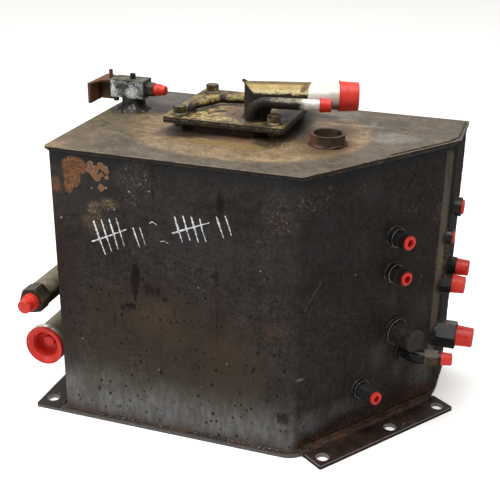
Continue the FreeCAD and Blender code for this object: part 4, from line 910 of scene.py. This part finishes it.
def joined(parts):
    verts, faces = [], []
    for v, f in parts:
        start = len(verts)
        verts += v
        faces += [tuple((i + start for i in face)) for face in f]
    return verts, faces


def circle(centre, axis, radius, count=48):
    axis = Vector(axis).normalized()
    side = axis.cross(UP)
    if side.length < 0.1:
        side = axis.cross(Vector((1, 0, 0)))
    side.normalize()
    over = axis.cross(side)
    out = []
    for i in range(count):
        a = 2 * math.pi * i / count
        out.append(Vector(centre) + side * (radius * math.cos(a)) + over * (radius * math.sin(a)))
    return out


def rounded_outline(corners, radii, z, out=0.0):
    """Closed outline of the tank seen from above, moved outwards, with its bends."""
    count = len(corners)
    moved = []
    for i in range(count):
        before, corner, after = corners[i - 1], corners[i], corners[(i + 1) % count]
        n1 = (corner - before).normalized()
        n2 = (after - corner).normalized()
        o1, o2 = Vector((n1.y, -n1.x, 0)), Vector((n2.y, -n2.x, 0))
        total = (o1 + o2).normalized()
        moved.append(corner + total * (out / total.dot(o1)))
    points = []
    for i in range(count):
        before, corner, after = moved[i - 1], moved[i], moved[(i + 1) % count]
        back = (before - corner).normalized()
        ahead = (after - corner).normalized()
        half = back.angle(ahead) / 2
        r = radii[i] + out
        centre = corner + (back + ahead).normalized() * (r / math.sin(half))
        first = corner + back * (r / math.tan(half))
        last = corner + ahead * (r / math.tan(half))
        for k in range(9):
            p = first.lerp(last, k / 8) - centre
            points.append(centre + p.normalized() * r)
    for p in points:
        p.z = z
    return points


TANK_CORNERS = [A, B, C, D, F]
TANK_RADII = [BEND["A"], BEND["B"], BEND["C"], 0.001, 0.001]


def mm(x, y, z):
    return Vector((x / 1000, y / 1000, z / 1000))


def azimuth(degrees):
    a = math.radians(degrees)
    return Vector((math.cos(a), math.sin(a), 0))


def panel(s, off, z):
    """Point out from the slanted panel, all in millimetres."""
    p = B + ALONG * (s / 1000) + OUTWARD * (off / 1000)
    return Vector((p.x, p.y, z / 1000))


def at_port(name, off):
    """Point in front of one of the slanted panel's ports."""
    s, z = PORTS[name]
    return panel(s, off, z)


def wall_x(y):
    """Outside of the right wall at a place along Y, with the bend in front of it."""
    centre_y = C.y + BEND["C"] * math.tan((math.pi / 2 - math.atan2(ALONG.y, ALONG.x)) / 2)
    if y >= centre_y:
        return C.x
    drop = min(BEND["C"], centre_y - y)
    return C.x - BEND["C"] + math.sqrt(BEND["C"] ** 2 - drop ** 2)


def mitre(corner, first, second, radius, grow=0.0005, count=56):
    """Seam where two round pipes meet at a mitred corner."""
    normal = (first - second).normalized()
    side = first.cross(second).normalized()
    over = first.cross(side)
    out = []
    for i in range(count):
        a = 2 * math.pi * i / count
        p = side * math.cos(a) + over * math.sin(a)
        p = p * (radius + grow)
        out.append(corner + p - first * (normal.dot(p) / normal.dot(first)))
    return out


# ---------------------------------------------------------------- weld beads
# under the lid and round the base
v, f = bead_mesh(rounded_outline(TANK_CORNERS, TANK_RADII, WALL_TOP - 0.0012, 0.0006), 0.0022, True, 1)
new_mesh("weld_lid_seam", v, f, "weld", slot="tank_paint")
v, f = bead_mesh(rounded_outline(TANK_CORNERS, TANK_RADII, BASE_TOP + 0.0006, 0.0006), 0.0026, True, 2)
new_mesh("weld_base_seam", v, f, "weld_rust", slot="tank_paint")
# lumpy second pass along the slanted and right edges of the lid, and up the back corners
lumpy = [bead_mesh([panel(s, 2, 418.6) for s in range(40, 276, 8)], 0.0026, False, 31, 0.006, rough=0.55)]
lumpy.append(bead_mesh([mm(264.4, y, 418.4) for y in range(88, 163, 8)], 0.0024, False, 32, 0.006,
    rough=0.55))
for x in (X0 + 0.0008, -X0 - 0.0008):
    upright = [Vector((x, -Y0 + 0.0002, 0.008 + 0.0408 * i)) for i in range(11)]
    lumpy.append(bead_mesh(upright, 0.0023, False, 33, 0.005))
edge = [panel(s, 1, 423.6) for s in (150, 185, 220, 250, 262)]
edge += [mm(262.4, y, 423.7) for y in (74, 95, 120, 150, 162)]
lumpy.append(bead_mesh(edge, 0.0019, False, 34, 0.007, rough=0.45))
new_mesh("weld_lid_corner", *joined(lumpy), "weld", slot="tank_paint")
# several rough passes where the feet join the base
passes = []
for k, (off, z, radius) in enumerate(((1.2, 6.6, 0.003), (4.8, 6, 0.0027), (8.4, 6.4, 0.0031),
        (11.6, 5.8, 0.0021))):
    run = [panel(s, off, z) for s in range(8, 278, 6)]
    passes.append(bead_mesh(run, radius, False, 40 + k, 0.005, rough=0.55))
passes.append(bead_mesh([mm(-271.4, y, 5.8) for y in range(-158, 160, 6)], 0.0024, False, 47, 0.005,
    rough=0.45))
new_mesh("weld_feet", *joined(passes), "weld_rust", slot="foot_rust")
# bits of spatter and slag: front lip, right foot and round the valve
rng = random.Random(12)


def lump(centre, size, squash=0.6, rng=rng):
    """Small rounded drop of spatter."""
    rings, sides = 3, 6
    verts, faces = [], []
    turn = rng.random() * 6
    verts.append(centre + Vector((0, 0, size * squash)))
    for i in range(1, rings):
        a = math.pi * i / rings
        for k in range(sides):
            b = 2 * math.pi * k / sides + turn
            r = size * math.sin(a) * rng.uniform(0.8, 1.2)
            verts.append(centre + Vector((r * math.cos(b), r * math.sin(b), size * squash * math.cos(a))))
    verts.append(centre - Vector((0, 0, size * squash)))
    for k in range(sides):
        m = (k + 1) % sides
        faces.append((0, 1 + k, 1 + m))
        faces.append((1 + k, 1 + sides + k, 1 + sides + m, 1 + m))
        faces.append((1 + sides + k, len(verts) - 1, 1 + sides + m))
    return verts, faces


bits = []
for i in range(110):
    u = rng.uniform(40, 352) if i % 3 else rng.uniform(230, 352)
    bits.append(lump(mm(u - FRONT_START, -163 - rng.uniform(0.6, 6), rng.uniform(5.2, 8.6)),
        rng.uniform(0.0005, 0.0013)))
new_mesh("spatter_front_lip", *joined(bits), "weld_pale", slot="tank_paint")
bits = []
for i in range(90):
    bits.append(lump(panel(rng.uniform(10, 272), rng.uniform(2, 19), 6.6), rng.uniform(0.0006, 0.0016)))
for i in range(50):
    bits.append(lump(panel(rng.uniform(10, 265), 0.2, rng.uniform(8, 26)), rng.uniform(0.0004, 0.001)))
new_mesh("spatter_foot", *joined(bits), "weld_rust", slot="foot_rust")
bits = []
for i in range(46):
    a = rng.uniform(0, 2 * math.pi)
    r = rng.uniform(19, 30)
    bits.append(lump(mm(VALVE[0] + r * math.cos(a), VALVE[1] + r * math.sin(a), 424.3),
        rng.uniform(0.0006, 0.002)))
new_mesh("flakes_valve", *joined(bits), "weld_pale", slot="lid_paint")

# lumpy skirt of old sealant round the valve's neck
verts, faces = [], []
neck_radius, neck_top = 15.9, 443
profile = ((neck_radius, 443.3), (17.4, 441), (17.6, 437), (18, 433), (19, 430), (21, 427.5), (23.8, 425.6),
    (26, 424.1))
turns = 64
for k in range(turns):
    a = 2 * math.pi * k / turns
    out = Vector((math.cos(a), math.sin(a), 0))
    for r, z in profile:
        swell = 0.5 * noise.noise(out * 2.2 + Vector((0, 0, z * 0.13)))
        swell += 0.4 * noise.noise(out * 7 + Vector((0, 0, z * 0.5)))
        reach = neck_radius + (r - neck_radius) * (1 + 0.9 * swell) if z < neck_top else r
        verts.append(mm(*VALVE, z) + out * (reach / 1000))
for k in range(turns):
    for i in range(len(profile) - 1):
        a, b = k * len(profile) + i, (k + 1) % turns * len(profile) + i
        faces.append((a, a + 1, b + 1, b))
new_mesh("sealant_valve_neck", verts, faces, "sealant", slot="foot_rust")

# fillets round the tubes, necks and bosses
v, f = bead_mesh(circle(mm(*FILLER, 424.6), UP, 0.0252), 0.0027, True, 3, rough=0.9)
new_mesh("weld_filler", v, f, "weld_rust", slot="lid_paint")
tops = []
for place, z, radius, thick, seed in ((RETURN, 445, 20, 2.2, 6), (BYPASS, 444.9, 8.6, 1.5, 7),
        (CROSS_ENDS[0], 444.9, 7, 1.5, 8), (CROSS_ENDS[1], 444.9, 7, 1.5, 9)):
    tops.append(bead_mesh(circle(mm(*place, z), UP, radius / 1000), thick / 1000, True, seed, rough=0.4))
crown = mitre(KNEE, -UP, azimuth(RETURN_TURN), RETURN_RADIUS)
tops.append(bead_mesh(crown, 0.0016, True, 10, rough=0.4))
peak = max(crown, key=lambda p: p.z)
tops.append(lump(peak + Vector((-0.0005, 0, 0.0004)), 0.0036, 0.75))
new_mesh("weld_cover_tubes", *joined(tops), "weld", slot="cover_paint")
side_welds = []
for y, z, radius, seed in ((-10, 95.2, 0.0254, 11), (-20, 182.8, 0.01905, 12)):
    side_welds.append(bead_mesh(circle(mm(-263.3, y, z), (1, 0, 0), radius + 0.0012), 0.0028, True, seed,
        rough=0.35))
    side_welds.append(bead_mesh(mitre(mm(-303.8, y, z), Vector((1, 0, 0)), Vector((0, -1, 0)), radius),
        0.0016, True, seed + 9))
new_mesh("weld_side_tubes", *joined(side_welds), "weld", slot="zinc_tube")
beads = []
for port, radius, seed in (("upper", 14, 21), ("middle", 14, 22), ("blank", 20, 23), ("elbow", 15, 24),
        ("drain", 14.5, 25)):
    ring = circle(at_port(port, 0.5), OUTWARD, (radius + 0.9) / 1000)
    beads.append(bead_mesh(ring, 0.0021, True, seed, rough=0.35))
for y, z, radius, seed in ((98, 311.7, 14.3, 26), (71, 273.6, 11.5, 27), (100, 214, 15.5, 28),
        (71, 198, 15.5, 29), (71, 112, 20, 30)):
    ring = circle(mm(0, y, z), (1, 0, 0), (radius + 0.8) / 1000)
    for p in ring:
        p.x = wall_x(p.y) + 0.0003
    beads.append(bead_mesh(ring, 0.002, True, seed, rough=0.35))
new_mesh("weld_ports", *joined(beads), "weld", slot="black_fitting")

# ---------------------------------------------------------------- pale rims on the black fittings
rims = []
for port, radius, off in (("upper", 14, 8), ("middle", 14, 8), ("blank", 20, 5), ("drain", 14.5, 6)):
    ring = circle(at_port(port, off), OUTWARD, (radius - 0.35) / 1000)
    rims.append(bead_mesh(ring, 0.00055, True, 51, sides=5, rough=0.1))
new_mesh("rim_bosses", *joined(rims), "rim", slot="black_fitting")
grip = []
for k in range(9):
    ring = circle(at_port("blank", 9.5 + 2.6 * k), OUTWARD, 0.0171)
    grip.append(bead_mesh(ring, 0.00042, True, 60 + k, sides=5, rough=0.5))
new_mesh("grip_blanking_cap", *joined(grip), "blank", slot="black_fitting")

# short orange dabs of torque paint on the hex fittings
dabs = []
for y, z, x, up, size in ((62.5, 112, 274, 19.9, 4.6), (64.8, 198, 264.5, 14.2, 3.2),
        (94.5, 214, 269, 15, 3.2)):
    along_dab = (0, 0.35, 0.7, 1)
    run = [mm(x - size * 0.5 + size * t, y + 2 - 3.4 * t, z + up + 0.2 - 1.5 * abs(t - 0.2))
        for t in along_dab]
    dabs.append(bead_mesh(run, 0.0008, False, int(z), pitch=0.02, step=0.0008))
new_mesh("torque_dabs", *joined(dabs), "dab", slot="black_fitting")


# ---------------------------------------------------------------- lips, tabs and ribs on the caps
def lip(cap, centre, axis, radius, thick, tabs, ribs, length):
    """Rolled lip at a cap's mouth, with pull tabs and fine ribs along its side."""
    centre = Vector(centre)
    axis = Vector(axis).normalized()
    parts = [bead_mesh(circle(centre, axis, radius), thick, True, 70, sides=8, rough=0.04, pitch=0.05)]
    side = axis.cross(UP).normalized()
    over = side.cross(axis)
    for angle in tabs:
        a = math.radians(angle)
        out = side * math.cos(a) + over * math.sin(a)
        flat = axis.cross(out)
        verts = []
        for reach, half in ((-0.0004, 0.0028), (0.001, 0.0022), (0.0017, 0.001)):
            for w in (-half, half):
                for t in (-0.0007, 0.0009):
                    verts.append(centre + out * (radius + reach) + flat * w + axis * t)
        faces = []
        for b in (0, 4):
            faces += [(b, b + 4, b + 6, b + 2), (b + 1, b + 3, b + 7, b + 5), (b, b + 1, b + 5, b + 4),
                (b + 2, b + 6, b + 7, b + 3)]
        faces += [(0, 2, 3, 1), (8, 9, 11, 10)]
        parts.append((verts, faces))
    for k in range(ribs):
        a = 2 * math.pi * k / ribs
        out = side * math.cos(a) + over * math.sin(a)
        run = [centre + out * (radius - 0.0008) + axis * (0.0015 + length * t) for t in (0, 0.5, 1)]
        parts.append(bead_mesh(run, 0.00042, False, 80 + k, sides=5, rough=0.05, pitch=0.05, step=0.004))
    new_mesh("lip_" + cap, *joined(parts), "red", "cap_" + cap, "red_plastic")


turn_return, turn_bypass, turn_elbow = azimuth(RETURN_TURN), azimuth(BYPASS_TURN), azimuth(ELBOW_TURN)
right_way = Vector((1, 0, 0))
lips = (
    ("return", KNEE + turn_return * 0.1156, turn_return, 0.0212, 0.00075, (95, 268), 0, 0),
    ("bypass", mm(*BYPASS, 472.2) + turn_bypass * 0.0968, turn_bypass, 0.0098, 0.0006, (80, 250), 0, 0),
    ("valve", mm(-195.4, 52, 456.5), right_way, 0.0091, 0.0006, (75,), 10, 0.009),
    ("supply", mm(-303.8, -171.8, 182.8), (0, -1, 0), 0.0124, 0.0007, (), 0, 0),
    ("front_low", mm(290.3, 71, 112), right_way, 0.0158, 0.0006, (100,), 12, 0.014),
    ("front_mid", mm(275.8, 71, 198), right_way, 0.0136, 0.0006, (100,), 10, 0.01),
    ("rear_mid", mm(276.8, 100, 214), right_way, 0.0128, 0.0006, (80,), 10, 0.01),
    ("elbow", at_port("elbow", 23) + turn_elbow * 0.0398, turn_elbow, 0.0098, 0.0005, (100,), 8, 0.008),
)
for cap, centre, axis, radius, thick, tabs, ribs, length in lips:
    lip(cap, centre, axis, radius, thick, tabs, ribs, length)
# raised ring inside the small panel plugs and the ribs in the dished plug
for port, off, radius in (("upper", 31.2, 8.9), ("middle", 31.4, 8.3)):
    ring = circle(at_port(port, off), OUTWARD, radius / 1000)
    boss = circle(at_port(port, off - 7.5), OUTWARD, 0.0028, 20)
    parts = [bead_mesh(ring, 0.0005, True, 90, rough=0.04, pitch=0.05),
        bead_mesh(boss, 0.0009, True, 91, rough=0.04, pitch=0.05)]
    new_mesh("ring_plug_" + port, *joined(parts), "red", "plug_" + port + "_port", "red_plastic")
v, f = bead_mesh(circle(at_port("drain", 37.4), OUTWARD, 0.0082), 0.0006, True, 92, rough=0.04, pitch=0.05)
new_mesh("ring_plug_drain", v, f, "red", "plug_drain", "red_plastic")
dish = []
mouth = Vector((-0.3038, -0.1408, 0.0952))
for depth, radius, thick in ((-0.0062, 0.03, 0.001), (0.002, 0.0205, 0.0007), (0.0128, 0.015, 0.0006)):
    dish.append(bead_mesh(circle(mouth + Vector((0, depth, 0)), (0, 1, 0), radius), thick, True, 93,
        rough=0.03, pitch=0.05))
for k in range(3):
    a = 2 * math.pi * k / 3 + 0.5
    out = Vector((math.cos(a), 0, math.sin(a)))
    run = [mouth + out * r + Vector((0, 0.0131, 0)) for r in (0.0095, 0.0145, 0.0195)]
    dish.append(bead_mesh(run, 0.0006, False, 94 + k, rough=0.03, pitch=0.05))
new_mesh("rings_plug_suction", *joined(dish), "red", "plug_suction", "red_plastic")


# ---------------------------------------------------------------- tally strokes in white paint pen
def stroke(points, width, seed):
    """Thin raised ribbon just off the front wall through (u, z) points in millimetres."""
    rng = random.Random(seed)
    path = resample([Vector((u - FRONT_START, 0, z)) for u, z in points], 1.2, False)
    verts, faces = [], []
    for i, p in enumerate(path):
        before, after = path[max(0, i - 1)], path[min(len(path) - 1, i + 1)]
        t = (after - before).normalized()
        n = Vector((-t.z, 0, t.x))
        share = i / (len(path) - 1)
        w = width * (0.55 + 0.45 * math.sin(math.pi * min(1, share * 1.2 + 0.1))) * rng.uniform(0.72, 1.15)
        for k, lift in ((-1, 0), (-0.45, 0.28), (0.45, 0.28), (1, 0)):
            q = p + n * (w * k / 2)
            verts.append(Vector((q.x / 1000, Y0 - (0.06 + lift) / 1000, q.z / 1000)))
    for i in range(len(path) - 1):
        for k in range(3):
            a, b = i * 4 + k, (i + 1) * 4 + k
            faces.append((a, a + 1, b + 1, b))
    return verts, faces


strokes = (
    (3.2, (62, 322), (70, 296), (78, 273)), (2.4, (74, 326), (81, 301), (88, 279)),
    (2.8, (86, 328), (93, 304), (98, 284)), (2.2, (97, 331), (103, 308), (108, 290)),
    (2.6, (58, 290), (82, 301), (112, 316)), (2.6, (122, 320), (127, 304), (131, 292)),
    (1.6, (132, 322), (137, 306), (140, 296)), (1.6, (147, 330), (151, 333), (158, 329)),
    (1, (162, 305), (168, 307), (174, 304)), (3, (184, 345), (189, 327), (195, 309)),
    (2.4, (196, 348), (201, 330), (206, 313)), (3, (208, 348), (213, 330), (218, 312)),
    (2.2, (220, 347), (224, 330), (229, 315)), (2.6, (180, 320), (205, 331), (234, 343)),
    (2.6, (244, 353), (249, 338), (254, 324)), (2.2, (256, 356), (261, 342), (265, 329)),
)
tally = [stroke(points, width, seed + 1) for seed, (width, *points) in enumerate(strokes)]
new_mesh("tally_strokes", *joined(tally), "pen", slot="tank_paint")

# ---------------------------------------------------------------- floor, light and camera
def floor_paint():
    """Pale matt floor that glossy surfaces see as dim, so dark paint keeps its depth."""
    g = Graph("floor_paper")
    tone = g.step(g.noise(1.2, 2), 0.3, 0.7)
    g.colour = g.mix(tone, (0.86, 0.855, 0.845), (0.88, 0.875, 0.87))
    g.surface(g.colour, 0.85, 0, None, Emission_Strength=0.3)
    g.bsdf.inputs["Emission Color"].default_value = (1, 0.99, 0.97, 1)
    dim = g.add("ShaderNodeBsdfDiffuse", {"Color": (0.3, 0.29, 0.28, 1)})
    rays = g.add("ShaderNodeLightPath")
    pick = g.add("ShaderNodeMixShader", {0: rays.outputs["Is Glossy Ray"]})
    g.tree.links.new(g.bsdf.outputs[0], pick.inputs[1])
    g.tree.links.new(dim.outputs[0], pick.inputs[2])
    out = [n for n in g.tree.nodes if n.type == "OUTPUT_MATERIAL"][0]
    g.tree.links.new(pick.outputs[0], out.inputs[0])
    return g.mat


floor_size = 6
mesh = bpy.data.meshes.new("floor")
mesh.from_pydata([(-floor_size, -floor_size, 0), (floor_size, -floor_size, 0), (floor_size, floor_size, 0),
    (-floor_size, floor_size, 0)], [], [(0, 1, 2, 3)])
floor = bpy.data.objects.new("floor", mesh)
bpy.context.scene.collection.objects.link(floor)
dress(floor, floor_paint())

world = bpy.data.worlds.new("studio")
bpy.context.scene.world = world
world.use_nodes = True
tree = world.node_tree
tree.nodes.clear()
out = tree.nodes.new("ShaderNodeOutputWorld")
light = tree.nodes.new("ShaderNodeBackground")
white = tree.nodes.new("ShaderNodeBackground")
white.inputs["Color"].default_value = (0.96, 0.965, 1, 1)
path = tree.nodes.new("ShaderNodeLightPath")
pick = tree.nodes.new("ShaderNodeMixShader")
coords = tree.nodes.new("ShaderNodeTexCoord")
split = tree.nodes.new("ShaderNodeSeparateXYZ")
tree.links.new(coords.outputs["Generated"], split.inputs[0])


def ramp(axis, values):
    node = tree.nodes.new("ShaderNodeMapRange")
    tree.links.new(split.outputs[axis], node.inputs[0])
    for i, value in enumerate(values):
        node.inputs[i + 1].default_value = value
    return node.outputs[0]


def combine(operation, first, second):
    node = tree.nodes.new("ShaderNodeMath")
    node.operation = operation
    tree.links.new(first, node.inputs[0])
    tree.links.new(second, node.inputs[1])
    return node.outputs[0]


# brightest behind and above, dim in front and to the right
total = combine("MAXIMUM", ramp("Y", (-0.5, 0.5, 0.24, 0.8)), ramp("Z", (0.1, 0.8, 0, 0.85)))
total = combine("MULTIPLY", total, ramp("X", (0.1, 0.8, 1, 0.45)))
tree.links.new(total, light.inputs["Strength"])
light.inputs["Color"].default_value = (1, 0.99, 0.975, 1)
tree.links.new(path.outputs["Is Camera Ray"], pick.inputs[0])
tree.links.new(light.outputs[0], pick.inputs[1])
tree.links.new(white.outputs[0], pick.inputs[2])
tree.links.new(pick.outputs[0], out.inputs[0])


def area_light(name, position, target, size, power, colour=(1, 1, 1)):
    data = bpy.data.lights.new(name, "AREA")
    data.shape = "DISK"
    data.size = size
    data.energy = power
    data.color = colour
    lamp = bpy.data.objects.new(name, data)
    bpy.context.scene.collection.objects.link(lamp)
    lamp.location = position
    lamp.rotation_euler = (Vector(target) - Vector(position)).to_track_quat("-Z", "Y").to_euler()
    return lamp


area_light("top_light", (-0.3, -0.4, 2.6), (0, 0, 0.3), 2.6, 70)
area_light("left_light", (-1.6, -1.6, 1.5), (0, 0, 0.25), 1, 12)

EYE = Vector((0.39229, -1.26285, 0.81984))
PITCH, YAW, ROLL = 0.41314, -0.31787, 0.014054
ahead = Vector((math.sin(YAW) * math.cos(PITCH), math.cos(YAW) * math.cos(PITCH), -math.sin(PITCH)))
level = Vector((math.cos(YAW), -math.sin(YAW), 0))
above = level.cross(ahead)
right = level * math.cos(ROLL) + above * math.sin(ROLL)
above = above * math.cos(ROLL) - level * math.sin(ROLL)
camera = bpy.data.objects.new("camera", bpy.data.cameras.new("camera"))
bpy.context.scene.collection.objects.link(camera)
camera.data.sensor_width = 36
camera.data.lens = 68.862
camera.data.clip_end = 50
camera.matrix_world = Matrix(((right.x, above.x, -ahead.x, EYE.x), (right.y, above.y, -ahead.y, EYE.y),
    (right.z, above.z, -ahead.z, EYE.z), (0, 0, 0, 1)))
bpy.context.scene.camera = camera
bpy.context.scene.view_settings.view_transform = "Standard"
